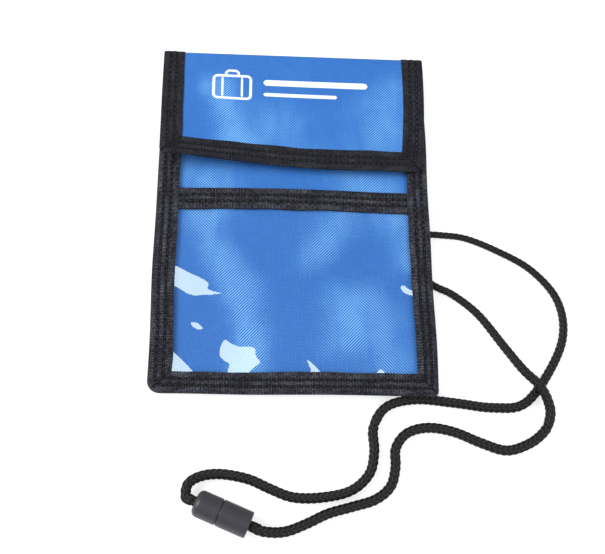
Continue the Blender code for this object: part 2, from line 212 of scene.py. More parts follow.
def drape_body(points):
    """The pouch's lie: it sags to the table at its unsupported lower left, and its faces undulate."""
    x, y = points[..., 0], points[..., 1]
    free = smooth(80.0 - y, 0.0, 25.0)
    sag = smooth(25.0 - x, 0.0, 80.0) * smooth(-20.0 - y, 0.0, 66.0)
    mouth = np.exp(-(((y - 6.0) / 13.0) ** 2)) * np.sin(x / 17.0 + 2.2)
    bottom = smooth(-40.0 - y, 0.0, 45.0) * smooth(x, -62.0, -15.0)
    out = points.copy()
    out[..., 0] += EDGE_WANDER * free * ripple(x, y, 7, 60.0)
    out[..., 1] += MOUTH_WAVE * mouth + EDGE_WANDER * free * ripple(x, y, 5, 90.0) - BOTTOM_DROP * bottom
    out[..., 2] += FACE_WAVE * free * ripple(x, y, 3, 70.0) - CORNER_SAG * sag
    return out


def drape_flap(points):
    """The flap's lie: held flat at the fold, lifted at its free edge, most at the lower left corner."""
    x, y = points[..., 0], points[..., 1]
    held = FOLD_AXIS[1] - 2.0
    depth = np.clip((held - y) / (held - FLAP_LOW[1]), 0.0, 1.15)
    left, right = smooth(24.0 - x, 0.0, 100.0), smooth(x, 5.0, 62.0)
    out = points.copy()
    out[..., 0] += 1.1 * left * depth**2 - 3.9 * right * depth**2.5 + 0.25 * depth * ripple(x, y, 11, 50.0)
    out[..., 1] += depth * (FLAP_CREEP + FLAP_CORNER_CREEP * left)
    out[..., 2] += FLAP_LIFT * depth**2 + FLAP_CORNER_LIFT * left**1.3 * depth**2.2
    out[..., 2] += 0.4 * right * depth**3 + FLAP_WAVE * depth * np.sin(x / 15.0 + 0.6)
    return out


# ---- meshes

def make_mesh(name, points, faces, material, uv=None, sharp=40.0):
    """An object from millimetre points and faces, with a UV map in millimetres."""
    mesh = bpy.data.meshes.new(name)
    mesh.from_pydata((points * MM).tolist(), [], faces)
    mesh.update()
    if uv is not None:
        corner = np.empty(len(mesh.loops), np.int32)
        mesh.loops.foreach_get("vertex_index", corner)
        layer = mesh.uv_layers.new(name="UVMap")
        layer.data.foreach_set("uv", uv[corner].astype(np.float32).ravel())
    mesh.shade_smooth()
    mesh.set_sharp_from_angle(angle=math.radians(sharp))
    mesh.materials.append(material)
    piece = bpy.data.objects.new(name, mesh)
    bpy.context.scene.collection.objects.link(piece)
    return piece


def grid_faces(rows, columns, start=0, flip=False, ring=False):
    """Quads over a grid of points, row by row. A ring joins its last column to its first."""
    i, j = np.meshgrid(np.arange(rows - 1), np.arange(columns if ring else columns - 1), indexing="ij")
    k = (j + 1) % columns
    quads = np.stack([i * columns + j, (i + 1) * columns + j, (i + 1) * columns + k, i * columns + k], -1)
    quads = quads.reshape(-1, 4) + start
    return (quads[:, ::-1] if flip else quads).tolist()


def grid_normals(grid):
    """Unit normals of a grid of points."""
    along, across = np.gradient(grid, axis=0), np.gradient(grid, axis=1)
    return unit(np.cross(along, across))


def skin_faces(rows, columns, flip=False):
    """The faces of a closed thin skin: a grid of points, the same grid behind it and the rim between them."""
    count = rows * columns
    index = np.arange(count).reshape(rows, columns)
    rim = np.concatenate([index[0, :], index[1:, -1], index[-1, -2::-1], index[-2:0:-1, 0]])
    after = np.roll(rim, -1)
    sides = np.stack([rim, after, after + count, rim + count], 1)[:, :: -1 if flip else 1]
    front = grid_faces(rows, columns, flip=flip)
    return front + grid_faces(rows, columns, count, flip=not flip) + sides.tolist()


def bar_faces(count, sides):
    """The faces of a closed bar through rings of points."""
    caps = [list(range(sides)), list(range((count - 1) * sides, count * sides))[::-1]]
    return grid_faces(count, sides, ring=True, flip=True) + caps


def directions(beside, above, turn):
    """The ways out from a line at each turn about it, given two ways square to it."""
    return beside[..., None, :] * np.cos(turn)[:, None] + above[..., None, :] * np.sin(turn)[:, None]


def shell(name, grid, thickness, material, uv, sharp=40.0, normals=None):
    """A closed thin sheet either side of a grid of points."""
    half = (grid_normals(grid) if normals is None else normals) * thickness / 2
    points = np.concatenate([(grid + half).reshape(-1, 3), (grid - half).reshape(-1, 3)])
    faces = skin_faces(*grid.shape[:2])
    return make_mesh(name, points, faces, material, np.tile(uv.reshape(-1, 2), (2, 1)), sharp)


def sweep(name, rings, material, uv, sharp=40.0):
    """A closed bar through rings of points."""
    faces = bar_faces(*rings.shape[:2])
    return make_mesh(name, rings.reshape(-1, 3), faces, material, uv.reshape(-1, 2), sharp)


def store(piece, name, values, kind="FLOAT", key="value"):
    """Keeps a number, or a vector, for each vertex, for the material to read."""
    kept = piece.data.attributes.new(name, kind, "POINT")
    kept.data.foreach_set(key, np.asarray(values, np.float32).ravel())


def joined(name, parts, material):
    """One object from many small meshes, each given as points, faces and UVs."""
    faces, start = [], 0
    for points, part_faces, _ in parts:
        faces += [[index + start for index in face] for face in part_faces]
        start += len(points)
    points = np.concatenate([part[0] for part in parts])
    return make_mesh(name, points, faces, material, np.concatenate([part[2] for part in parts]), 60.0)


def identify(piece, slot, *nodes):
    """Hides the CAD nodes that a piece stands for, and gives the piece back; slot is not used."""
    if nodes:
        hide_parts(*nodes)
    return piece


# ---- materials

def new_material(name):
    """A material, its node tree and its Principled shader."""
    material = bpy.data.materials.new(name)
    material.use_nodes = True
    tree = material.node_tree
    return material, tree, tree.nodes["Principled BSDF"]


def feed(tree, entry, value):
    """Sets an input to a value, or links it to the socket that feeds it."""
    if isinstance(value, bpy.types.NodeSocket):
        tree.links.new(value, entry)
    else:
        entry.default_value = value


def node(tree, kind, inputs=None, **settings):
    """A shader node. Inputs are values or the sockets that feed them."""
    made = tree.nodes.new(kind)
    for key, value in settings.items():
        setattr(made, key, value)
    for key, value in (inputs or {}).items():
        feed(tree, made.inputs[key], value)
    return made


def dress(tree, shader, colour, height, strength, distance, roughness, specular=0.5):
    """Feeds a shader its colour, its bump, whose distance is in millimetres, and its gloss."""
    bump = node(tree, "ShaderNodeBump", {"Strength": strength, "Distance": distance * MM, "Height": height})
    feed(tree, shader.inputs["Base Color"], colour)
    feed(tree, shader.inputs["Normal"], bump.outputs[0])
    feed(tree, shader.inputs["Roughness"], roughness)
    feed(tree, shader.inputs["Specular IOR Level"], specular)


def maths(tree, operation, first, second=None, third=None):
    inputs = {key: value for key, value in enumerate((first, second, third)) if value is not None}
    return node(tree, "ShaderNodeMath", inputs, operation=operation).outputs[0]


def vector_maths(tree, operation, first, second=None):
    inputs = {0: first} if second is None else {0: first, 1: second}
    made = node(tree, "ShaderNodeVectorMath", inputs, operation=operation)
    return made.outputs["Value" if operation == "DOT_PRODUCT" else "Vector"]


def stored(tree, name, kind="Fac"):
    """What store() keeps for each vertex."""
    return node(tree, "ShaderNodeAttribute", attribute_name=name).outputs[kind]


def spread(tree, value, low, high, first=0.0, last=1.0):
    """A value's place between low and high, as a number from first to last."""
    return node(tree, "ShaderNodeMapRange", {0: value, 1: low, 2: high, 3: first, 4: last}).outputs[0]


def uv_axes(tree):
    """The UV map's two axes in millimetres."""
    uv = node(tree, "ShaderNodeUVMap", uv_map="UVMap").outputs[0]
    split = node(tree, "ShaderNodeSeparateXYZ", {0: uv})
    return uv, split.outputs[0], split.outputs[1]


def waves(tree, value, period, phase=0.0):
    """A sine from 0 to 1 along a value."""
    scaled = maths(tree, "MULTIPLY_ADD", value, 2 * math.pi / period, phase)
    return maths(tree, "MULTIPLY_ADD", maths(tree, "SINE", scaled), 0.5, 0.5)


def noise(tree, vector, scale, detail=2.0, roughness=0.5):
    """Noise from 0 to 1."""
    inputs = {"Vector": vector, "Scale": scale, "Detail": detail, "Roughness": roughness}
    return node(tree, "ShaderNodeTexNoise", inputs).outputs[0]


def ramp(tree, value, low, high, colours):
    """Colours spread evenly between two values."""
    blend = node(tree, "ShaderNodeValToRGB", {0: spread(tree, value, low, high)})
    steps = blend.color_ramp.elements
    while len(steps) < len(colours):
        steps.new(0.5)
    for i, colour in enumerate(colours):
        steps[i].position = i / (len(colours) - 1)
        steps[i].color = (*colour, 1.0)
    return blend.outputs[0]


def stretched(tree, vector, x, y):
    """UV coordinates scaled for a stretched noise."""
    return vector_maths(tree, "MULTIPLY", vector, (x, y, 1.0))


def mixed(tree, share, first, second):
    """A number between two others."""
    return node(tree, "ShaderNodeMix", {0: share, 2: first, 3: second}).outputs[0]


def blue_cloth():
    """Bright blue oxford cloth: a plain weave seen as fine diagonals, with painted sheen: brighter and
    crisper in soft bands.
    """
    material, tree, shader = new_material("blue_cloth")
    uv, u, v = uv_axes(tree)
    # The weave's diagonals are the cloth's own pattern. Their light and dark in the colour are partly painted
    # highlight on the threads and painted shade between them.
    rising = waves(tree, maths(tree, "ADD", u, v), WEAVE_PERIOD)
    falling = waves(tree, maths(tree, "SUBTRACT", u, v), WEAVE_PERIOD)
    zone = spread(tree, noise(tree, stretched(tree, uv, 0.055, 0.012), 1.0, 0.0), 0.44, 0.56)
    weave = mixed(tree, zone, rising, falling)
    patch = noise(tree, stretched(tree, uv, 0.08, 0.05), 1.0, 2.0)
    # Painted sheen: the stored sheen bands, broken up by patch noise, brighten the base colour and strengthen
    # the weave's contrast.
    sheen = maths(tree, "MULTIPLY", stored(tree, "sheen"), maths(tree, "MULTIPLY_ADD", patch, 1.1, 0.45))
    threads = noise(tree, stretched(tree, uv, 0.12, 2.2), 1.0)
    picks = noise(tree, stretched(tree, uv, 2.2, 0.12), 1.0)
    contrast = maths(tree, "MULTIPLY_ADD", sheen, 0.66, 0.34)
    tone = maths(tree, "MULTIPLY", maths(tree, "SUBTRACT", weave, 0.5), contrast)
    tone = maths(tree, "MULTIPLY_ADD", sheen, 0.34, tone)
    tone = maths(tree, "MULTIPLY_ADD", maths(tree, "ADD", threads, picks), 0.22, tone)
    colour = ramp(tree, tone, 0.05, 0.85, ((0.015, 0.095, 0.36), (0.032, 0.175, 0.52), (0.18, 0.44, 0.80)))
    height = maths(tree, "MULTIPLY_ADD", threads, 0.3, weave)
    dress(tree, shader, colour, height, 0.30, 0.12, 0.58, 0.30)
    return material


def ribbed_tape(name, light):
    """Charcoal grosgrain: ribs across the tape, broken up by fuzz and lighter worn specks, with painted shade
    in its stitch grooves and mitres.
    """
    material, tree, shader = new_material(name)
    uv, u, _ = uv_axes(tree)
    drift = noise(tree, stretched(tree, uv, 0.25, 0.5), 1.0)
    # The ribs' light and dark in the colour are partly the tape's own texture and partly painted highlight on
    # the ribs and painted shade between them.
    ribs = waves(tree, maths(tree, "MULTIPLY_ADD", drift, 0.5, u), RIB_PITCH)
    specks = noise(tree, stretched(tree, uv, 1.3, 0.6), 1.0, 3.0, 0.7)
    worn = noise(tree, stretched(tree, uv, 0.10, 0.25), 1.0, 2.0)
    tone = maths(tree, "MULTIPLY_ADD", ribs, 0.40, maths(tree, "MULTIPLY", specks, 0.95))
    tone = maths(tree, "MULTIPLY_ADD", worn, 0.50, tone)
    # Painted shade: the stored dent, which marks the stitch grooves and mitres, darkens the colour.
    tone = maths(tree, "SUBTRACT", tone, maths(tree, "MULTIPLY", stored(tree, "dent"), 0.6))
    colours = ((0.0015, 0.0015, 0.0025), (0.0068, 0.0072, 0.0125), (light, light * 1.01, light * 1.25))
    height = maths(tree, "MULTIPLY_ADD", specks, 0.6, ribs)
    dress(tree, shader, ramp(tree, tone, 0.60, 1.32, colours), height, 0.6, 0.18, 0.72, 0.18)
    return material


def black_thread():
    """Twisted sewing thread, a little glossier than the tape."""
    material, tree, shader = new_material("black_thread")
    _, u, v = uv_axes(tree)
    twist = waves(tree, maths(tree, "ADD", u, v), 0.35)
    colour = ramp(tree, twist, 0.0, 1.0, ((0.004, 0.004, 0.005), (0.018, 0.018, 0.022)))
    dress(tree, shader, colour, twist, 0.4, 0.05, 0.5)
    return material


def black_cord():
    """Black braid: fine fibres along each strand, lighter on its raised grains and darker between them, as
    painted highlight and painted shade.
    """
    material, tree, shader = new_material("black_cord")
    uv, _, _ = uv_axes(tree)
    fibres = noise(tree, stretched(tree, uv, 2.6, 5.0), 1.0, 3.0, 0.6)
    # Painted highlight on the raised grains and painted shade between them, over the fibres' own tone.
    tone = maths(tree, "MULTIPLY_ADD", stored(tree, "raised"), 0.85, maths(tree, "MULTIPLY", fibres, 0.35))
    colours = ((0.0008, 0.0008, 0.001), (0.005, 0.0047, 0.0055), (0.032, 0.030, 0.033))
    dress(tree, shader, ramp(tree, tone, 0.30, 1.10, colours), fibres, 0.4, 0.10, 0.50, 0.22)
    return material


def moulded_plastic():
    """Satin charcoal plastic with a fine spark-eroded grain."""
    material, tree, shader = new_material("moulded_plastic")
    place = node(tree, "ShaderNodeTexCoord").outputs["Object"]
    grain = noise(tree, place, 2600.0)
    colour = ramp(tree, noise(tree, place, 160.0), 0.3, 0.7, ((0.021, 0.021, 0.027), (0.028, 0.028, 0.036)))
    dress(tree, shader, colour, grain, 0.25, 0.04, spread(tree, grain, 0.3, 0.7, 0.34, 0.46))
    return material


def white_print():
    """Screen-printed white ink that lets a little of the weave through."""
    material, tree, shader = new_material("white_print")
    uv, u, v = uv_axes(tree)
    weave = waves(tree, maths(tree, "ADD", u, v), WEAVE_PERIOD)
    tone = maths(tree, "MULTIPLY_ADD", weave, 0.5, noise(tree, uv, 0.8, 3.0))
    colour = ramp(tree, tone, 0.3, 1.2, ((0.68, 0.76, 0.90), (0.80, 0.82, 0.86)))
    dress(tree, shader, colour, weave, 0.2, 0.08, 0.6)
    return material


def clear_sheet():
    """Clear vinyl: see-through, with a sharp reflection that follows the stored ripple normals.

    Its dents reflect strongly only where they mirror the small lamp towards the eye.
    """
    material, tree, shader = new_material("clear_sheet")
    tree.nodes.remove(shader)
    facing, dent = stored(tree, "facing", "Vector"), stored(tree, "dent")
    through = node(tree, "ShaderNodeBsdfTransparent", {"Color": (0.985, 0.988, 0.992, 1.0)})
    smears = noise(tree, node(tree, "ShaderNodeTexCoord").outputs["Object"], 90.0, 3.0)
    rough = spread(tree, smears, 0.35, 0.7, 0.03, 0.10)
    mirror = node(tree, "ShaderNodeBsdfGlossy", {"Roughness": rough, "Normal": facing})
    view = node(tree, "ShaderNodeNewGeometry").outputs
    along = vector_maths(tree, "DOT_PRODUCT", view["Incoming"], facing)
    grazing = maths(tree, "SUBTRACT", 1.0, maths(tree, "ABSOLUTE", along))
    share = maths(tree, "MULTIPLY_ADD", maths(tree, "POWER", grazing, 5.0), 0.9, CLEAR_SHINE)
    lamp = vector_maths(tree, "SUBTRACT", (LAMP_PLACE * MM).tolist(), view["Position"])
    back = vector_maths(tree, "REFLECT", view["Incoming"], facing)
    aim = vector_maths(tree, "DOT_PRODUCT", back, vector_maths(tree, "NORMALIZE", lamp))
    caught = spread(tree, aim, -0.985, -0.996)
    dented = maths(tree, "MULTIPLY", maths(tree, "MULTIPLY", dent, DENT_SHINE), caught)
    share = maths(tree, "MAXIMUM", share, dented)
    share = maths(tree, "MULTIPLY", share, maths(tree, "SUBTRACT", 1.0, view["Backfacing"]))
    sheet = node(tree, "ShaderNodeMixShader", {0: share, 1: through.outputs[0], 2: mirror.outputs[0]})
    feed(tree, tree.nodes["Material Output"].inputs["Surface"], sheet.outputs[0])
    return material


def pile(name, light):
    """Hook or loop pile."""
    material, tree, shader = new_material(name)
    fuzz = noise(tree, node(tree, "ShaderNodeTexCoord").outputs["Object"], 1400.0, 3.0, 0.7)
    colour = ramp(tree, fuzz, 0.3, 0.7, ((0.006, 0.006, 0.007), (light, light, light * 1.1)))
    dress(tree, shader, colour, fuzz, 0.7, 0.3, 0.85)
    return material


CLOTH = blue_cloth()
TAPE = ribbed_tape("ribbed_tape", 0.135)
FLAP_TAPE = ribbed_tape("ribbed_flap_tape", 0.058)
THREAD = black_thread()
CORD = black_cord()
PLASTIC = moulded_plastic()
INK = white_print()
VINYL = clear_sheet()
LOOPS = pile("loop_pile", 0.035)
HOOKS = pile("hook_pile", 0.020)


# ---- the cloth

def cloth_profile():
    """The pouch's back, fold and flap as one line of (y, z), with how many points are back and fold.

    Just before the fold the back rises, so that the fold is centred on its hinge.
    """
    hinge_y, hinge_z = FOLD_AXIS[1:]
    (_, back_y, back_low), (_, _, back_high) = node_box("back_panel")
    (_, flap_y, flap_low), (_, _, flap_high) = node_box("flap_panel")
    back_z = settle((back_low + back_high) / 2 + BACK_RAISE)
    flap_z = settle((flap_low + flap_high) / 2)
    rise = flap_z - hinge_z
    foot = hinge_y - FOLD_FOOT
    back = np.arange(back_y + EDGE_INSET, foot, CLOTH_STEP)
    back = np.concatenate([back, np.linspace(foot, hinge_y, 9)[:-1]])
    lift = (hinge_z - rise - back_z) * smooth(back, foot, hinge_y)
    turns = np.linspace(-math.pi / 2, math.pi / 2, 25)
    fold = np.stack([hinge_y + FOLD_REACH * np.cos(turns), hinge_z + rise * np.sin(turns)], 1)
    flap = np.arange(hinge_y - CLOTH_STEP, flap_y + EDGE_INSET, -CLOTH_STEP)
    flap = np.concatenate([[hinge_y - JOIN_GAP], flap])
    lines = [np.stack([back, back_z + lift], 1), fold, np.stack([flap, np.full(len(flap), flap_z)], 1)]
    return np.concatenate(lines), len(back), len(fold)


FOLD_REACH = (FOLD_HIGH[1] - FOLD_AXIS[1]) - CLOTH_THICKNESS / 2
PROFILE, BACK_COUNT, FOLD_COUNT = cloth_profile()


def flatten_fold(piece):
    """Attaches a piece of the fold to the pouch, on a mesh of its own."""
    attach(piece, "pouch")
    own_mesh(piece)


def sheet_grid(xs, profile):
    """Points over x and along a (y, z) line, with their UVs."""
    x = np.broadcast_to(xs[:, None], (len(xs), len(profile)))
    y = np.broadcast_to(profile[None, :, 0], x.shape)
    z = np.broadcast_to(profile[None, :, 1], x.shape)
    steps = np.linalg.norm(np.diff(profile, axis=0), axis=1)
    along = np.concatenate([[0.0], np.cumsum(steps)])
    uv = np.stack([x, np.broadcast_to(along[None, :], x.shape)], -1)
    return np.stack([x, y, z], -1), uv


def across(low, high, step):
    return np.linspace(low, high, int(round((high - low) / step)) + 1)


def distance_to(line, x, y):
    """How far each place is from a line through XY points."""
    nearest = np.full(x.shape, np.inf)
    for (ax, ay), (bx, by) in zip(line, line[1:]):
        run, rise = bx - ax, by - ay
        share = np.clip(((x - ax) * run + (y - ay) * rise) / (run**2 + rise**2), 0, 1)
        nearest = np.minimum(nearest, np.hypot(x - ax - share * run, y - ay - share * rise))
    return nearest


def store_sheen(piece, grid, sheen_bands):
    """Keeps the painted sheen for the cloth material: soft bright bands along lines where slack cloth would
    catch the light.
    """
    x, y = grid[..., 0], grid[..., 1]
    sheen = 0.10 + 0.10 * ripple(x, y, 13, 60.0)
    wander = 0.35 * ripple(x, y, 19, 34.0)
    for line, width, strength in sheen_bands:
        sheen = sheen + strength * np.exp(-((distance_to(line, x, y) / width + wander) ** 2))
    store(piece, "sheen", np.tile(np.clip(sheen, 0.0, 1.0).ravel(), 2))


# Painted sheen bands, where slack cloth would catch the light: a line of XY points, its width and its
# strength
BACK_SHEEN_BANDS = (
    ([(-40, 80), (-25, 0), (-35, -85)], 12.0, 0.7),
    ([(30, 80), (20, 10), (38, -85)], 14.0, 0.7),
)
FLAP_SHEEN_BANDS = (
    ([(-38, 66), (-32, 48), (-28, 24)], 8.5, 0.80),
    ([(46, 60), (44, 30)], 17.0, 0.55),
    ([(-8, 46), (2, 24)], 13.0, 0.45),
)
FRONT_SHEEN_BANDS = (
    ([(-46, 2), (-40, -16), (-29.5, -33), (-24, -46), (-22, -67), (-22, -88)], 8.5, 0.85),
    ([(26, 3), (17, -9), (9, -20)], 9.0, 0.60),
    ([(20, -40), (19, -62)], 10.0, 0.42),
    ([(34, -50), (44, -68), (48, -88)], 14.0, 0.62),
    ([(53, 4), (55, -24)], 8.0, 0.65),
    ([(-52, 24), (-40, 13)], 12.0, 0.6),
    ([(34, 18), (44, 8)], 12.0, 0.7),
)


def make_back_and_flap():
    """One length of cloth up the back, over the fold and down the flap, split at both ends of the fold."""
    low, high = node_box("back_panel")
    grid, uv = sheet_grid(across(low[0] + EDGE_INSET, high[0] - EDGE_INSET, CLOTH_STEP), PROFILE)
    flap_from, last = BACK_COUNT + FOLD_COUNT, len(PROFILE) - 1
    grid[:, :BACK_COUNT] = drape_body(grid[:, :BACK_COUNT])
    grid[:, flap_from:] = drape_flap(grid[:, flap_from:])
    grid, uv = grid[:, ::-1], uv[:, ::-1]
    normals = grid_normals(grid)
    stretches = (
        ("back_panel", 0, BACK_COUNT, BACK_SHEEN_BANDS),
        ("flap_fold", BACK_COUNT, flap_from, FLAP_SHEEN_BANDS),
        ("flap_panel", flap_from, last, FLAP_SHEEN_BANDS),
    )
    pieces = []
    for node_name, first, end, sheen_bands in stretches:
        rows = slice(last - end, last - first + 1)
        name = node_name + "_cloth"
        piece = shell(name, grid[:, rows], CLOTH_THICKNESS, CLOTH, uv[:, rows], normals=normals[:, rows])
        store_sheen(piece, grid[:, rows], sheen_bands)
        pieces.append(identify(piece, "flap_panel", node_name))
    back, fold, flap = pieces
    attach(back, "pouch")
    flatten_fold(fold)
    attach(flap, "flap")


def flat_sheet(name, node_name, thickness, step, material, puff=None):
    """A draped sheet in the place of a flat CAD panel, and its grid."""
    low, high = node_box(node_name)
    ys = across(low[1] + EDGE_INSET, high[1] - 0.4, step)
    profile = np.stack([ys, np.full(len(ys), settle((low[2] + high[2]) / 2))], 1)
    grid, uv = sheet_grid(across(low[0] + EDGE_INSET, high[0] - EDGE_INSET, step), profile)
    if puff is not None:
        grid[..., 2] += puff(grid[..., 0], grid[..., 1])
    grid = drape_body(grid)
    piece = identify(shell(name, grid, thickness, material, uv), node_name, node_name)
    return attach(piece, "pouch"), grid


# ---- tape

class Path:
    """A tape's run: its outer fold line, its free edge, the way its front faces and how far along."""

    def __init__(self, outer, inner, facing, drape, width=TAPE_WIDTH, mitres=()):
        self.outer, self.inner, self.facing = np.array(outer), np.array(inner), unit(np.array(facing, float))
        steps = np.linalg.norm(np.diff(self.outer, axis=0), axis=1)
        self.along = np.concatenate([[0.0], np.cumsum(steps)])
        self.mitres = self.along[list(mitres)]
        self.width = width
        self.drape = drape

    def at(self, along, inset, height):
        """Points at a distance along, an inset from the fold line and a height above the middle."""
        along, inset, height = np.broadcast_arrays(along, inset, height)
        outer, inner, facing = (
            np.stack([np.interp(along, self.along, table[:, i]) for i in range(3)], -1)
            for table in (self.outer, self.inner, self.facing)
        )
        out = (inner - outer) * (inset / self.width)[..., None]
        return self.drape(outer + out + unit(facing) * height[..., None])


def straight(start, end):
    count = max(2, int(np.linalg.norm(np.subtract(end, start)) / TAPE_STEP))
    return np.linspace(start, end, count)


def corner_arc(centre, radius, start, end):
    turns = np.radians(np.linspace(start, end, max(9, int(radius * 3))))
    return np.stack([centre[0] + radius * np.cos(turns), centre[1] + radius * np.sin(turns)], 1)


def cup_run(half_width, bottom, top, radii, z, drape, slim=0.0):
    """A tape path down the left side, round the bottom and up the right side.

    The tape is slimmer by slim along the bottom and, gradually, down the right side.
    """
    left, right = radii
    inner_x, inner_y = half_width - TAPE_WIDTH, bottom + TAPE_WIDTH
    stretches = (
        straight((-half_width, top), (-half_width, bottom + left))[:-1],
        corner_arc((left - half_width, bottom + left), left, 180, 270),
        straight((left - half_width, bottom), (half_width - right, bottom))[1:-1],
        corner_arc((half_width - right, bottom + right), right, 270, 360),
        straight((half_width, bottom + right), (half_width, top))[1:],
    )
    outer = np.concatenate(stretches)
    right_x = inner_x + slim * smooth(-outer[:, 1], 0.0, -bottom)
    inner = np.stack([np.clip(outer[:, 0], -inner_x, right_x), np.maximum(outer[:, 1], inner_y - slim)], 1)
    heights = np.full(len(outer), z)
    counts = [len(stretch) for stretch in stretches]
    mitres = (counts[0] + counts[1] // 2, sum(counts[:3]) + counts[3] // 2)
    facing = np.tile((0.0, 0.0, 1.0), (len(outer), 1))
    outer, inner = np.column_stack([outer, heights]), np.column_stack([inner, heights])
    return Path(outer, inner, facing, drape, mitres=mitres)


def hairpin(half_height, width, rows):
    """The section of a tape folded over an edge, as (inset, height) points going round its skin."""
    t = TAPE_THICKNESS
    insets = np.unique(np.concatenate([
        np.linspace(half_height, width - 0.25, 12), *[row + np.linspace(-0.9, 0.9, 7) for row in rows]
    ]))[::-1]
    crown = 0.16 * np.sin(np.clip(insets / width, 0, 1) * math.pi) ** 0.7
    groove = sum(0.24 * np.exp(-(((insets - row) / 0.55) ** 2)) for row in rows)
    front = np.stack([insets, half_height + crown - groove], 1)
    bend = [
        (half_height * (1 - math.cos(turn)), half_height * math.sin(turn))
        for turn in np.linspace(math.pi / 2, -math.pi / 2, 9)[1:-1]
    ]
    back = front[::-1] * (1, -1)
    inner_high = half_height - t
    inner_bend = [
        (half_height - inner_high * math.cos(turn), inner_high * math.sin(turn))
        for turn in np.linspace(-math.pi / 2, math.pi / 2, 7)
    ]
    lip_low = [(width, -half_height + 0.06), (width, -inner_high - 0.02), (width * 0.5, -inner_high)]
    lip_high = [(width * 0.5, inner_high), (width, inner_high + 0.02), (width, half_height - 0.06)]
    return np.array([*front, *bend, *back, *lip_low, *inner_bend, *lip_high])


def tape_along(name, path, half_height, seed, rows=STITCH_ROWS, material=TAPE, cuts=()):
    """A folded tape swept along its path and puckered between its stitches, in pieces split at the cuts."""
    section = hairpin(half_height, path.width, rows)
    along = path.along[:, None]
    inset, height = (np.tile(column, (len(along), 1)) for column in section.T)
    outside = np.abs(section[:, 1]) > half_height - 0.3
    pucker = 0.10 * np.cos(2 * math.pi * along / STITCH_PITCH) * np.exp(-((inset - 4.6) / 3.0) ** 2)
    wander = 0.13 * ripple(along, inset * 2.0, seed, 17.0)
    mitred = sum((np.exp(-(((along - place) / 0.45) ** 2)) for place in path.mitres), np.zeros(along.shape))
    stitched = sum(np.exp(-(((section[:, 0] - row) / 0.5) ** 2)) for row in rows)
    # dent marks the stitch grooves and mitres, which the tape material darkens with painted shade.
    dent = np.clip(np.maximum(mitred, stitched), 0.0, 1.0) * outside
    height = height + np.where(outside, np.sign(height) * (pucker + wander - 0.25 * mitred), 0.0)
    height = height * (0.25 + 0.75 * smooth(np.minimum(along, along[-1] - along), 0.0, 1.2))
    edge = 0.32 * ripple(along, 0.0, seed + 1, 28.0) * smooth(inset, path.width * 0.55, path.width)
    around = np.concatenate([[0.0], np.cumsum(np.linalg.norm(np.diff(section, axis=0), axis=1))])
    uv = np.stack(np.broadcast_arrays(along, around), -1)
    rings = path.at(along, inset + edge, height)
    ends = [0, *cuts, len(along) - 1]
    pieces = []
    for number, (first, last) in enumerate(zip(ends, ends[1:])):
        stretch = slice(first, last + 1)
        piece = sweep(f"{name}_{number}" if cuts else name, rings[stretch], material, uv[stretch], 50.0)
        store(piece, "dent", dent[stretch])
        pieces.append(piece)
    return pieces


def capsule(length, radius):
    """A stitch: an arched thread whose ends go down into the tape, as points, faces and UVs."""
    stations, sides = 7, 6
    s = np.linspace(-0.5, 0.5, stations)
    swell = radius * np.sqrt(np.maximum(1.0 - (2.0 * s) ** 4, 0.12))
    arch = -radius * 1.5 * (2 * s) ** 4
    turn = np.linspace(0, 2 * math.pi, sides, endpoint=False)
    across_it, up = np.outer(swell, np.cos(turn)), np.outer(swell, np.sin(turn)) + arch[:, None]
    points = np.stack([np.repeat(s * length, sides), across_it.ravel(), up.ravel()], -1)
    faces = [face[::-1] for face in bar_faces(stations, sides)]
    return points, faces, np.stack([points[:, 0], np.tile(turn * radius, stations)], -1)


def stitch_row(name, path, inset, height, ends=2.0, side=1.0, seed=0):
    """Stitches along a tape path, on its front or, with side -1, on its back."""
    draw = np.random.default_rng(seed)
    points, faces, uv = capsule(STITCH_LENGTH, STITCH_RADIUS)
    faces = faces if side > 0 else [face[::-1] for face in faces]
    parts = []
    for middle in np.arange(path.along[0] + ends, path.along[-1] - ends, STITCH_PITCH):
        off = inset + points[:, 1] + draw.normal(0, STITCH_TILT) * points[:, 0]
        parts.append((path.at(middle + points[:, 0], off, side * (height + points[:, 2])), faces, uv))
    return joined(name, parts, THREAD)


def stitch_both_faces(path, height, node_names, body, seeds, ends=2.0):
    """A tape's two stitch rows: on its front, where they stand for the CAD threads, and on its back."""
    for inset, node_name, seed in zip(STITCH_ROWS, node_names, seeds):
        front = stitch_row(node_name + "_front", path, inset, height, ends, 1.0, seed)
        back = stitch_row(node_name + "_back", path, inset, height, ends, -1.0, seed)
        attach(identify(front, node_name, node_name), body)
        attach(identify(back, node_name), body)


# Corner radii, left and right, and how much slimmer the body's tape is along its bottom
RADII = (6.0, 2.5)
FLAP_RADII = (3.0, 3.0)
BODY_SLIM = 0.9


def middle_and_half(low, high):
    """The middle height and half the thickness of a settled layer."""
    return (settle(low) + settle(high)) / 2, (settle(high) - settle(low)) / 2


def make_body_tape():
    """The binding round the pouch, with its two stitch rows front and back."""
    middle, half = middle_and_half(BODY_LOW[2], BODY_HIGH[2])
    path = cup_run(HALF_WIDTH, BODY_LOW[1], BODY_HIGH[1], RADII, middle, drape_body, BODY_SLIM)
    [piece] = tape_along("body_edge_tape", path, half, 21)
    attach(identify(piece, "body_binding", "body_binding"), "pouch")
    threads = ("body_thread_outer", "body_thread_inner")
    stitch_both_faces(path, half + STITCH_PROUD, threads, "pouch", (31, 32))


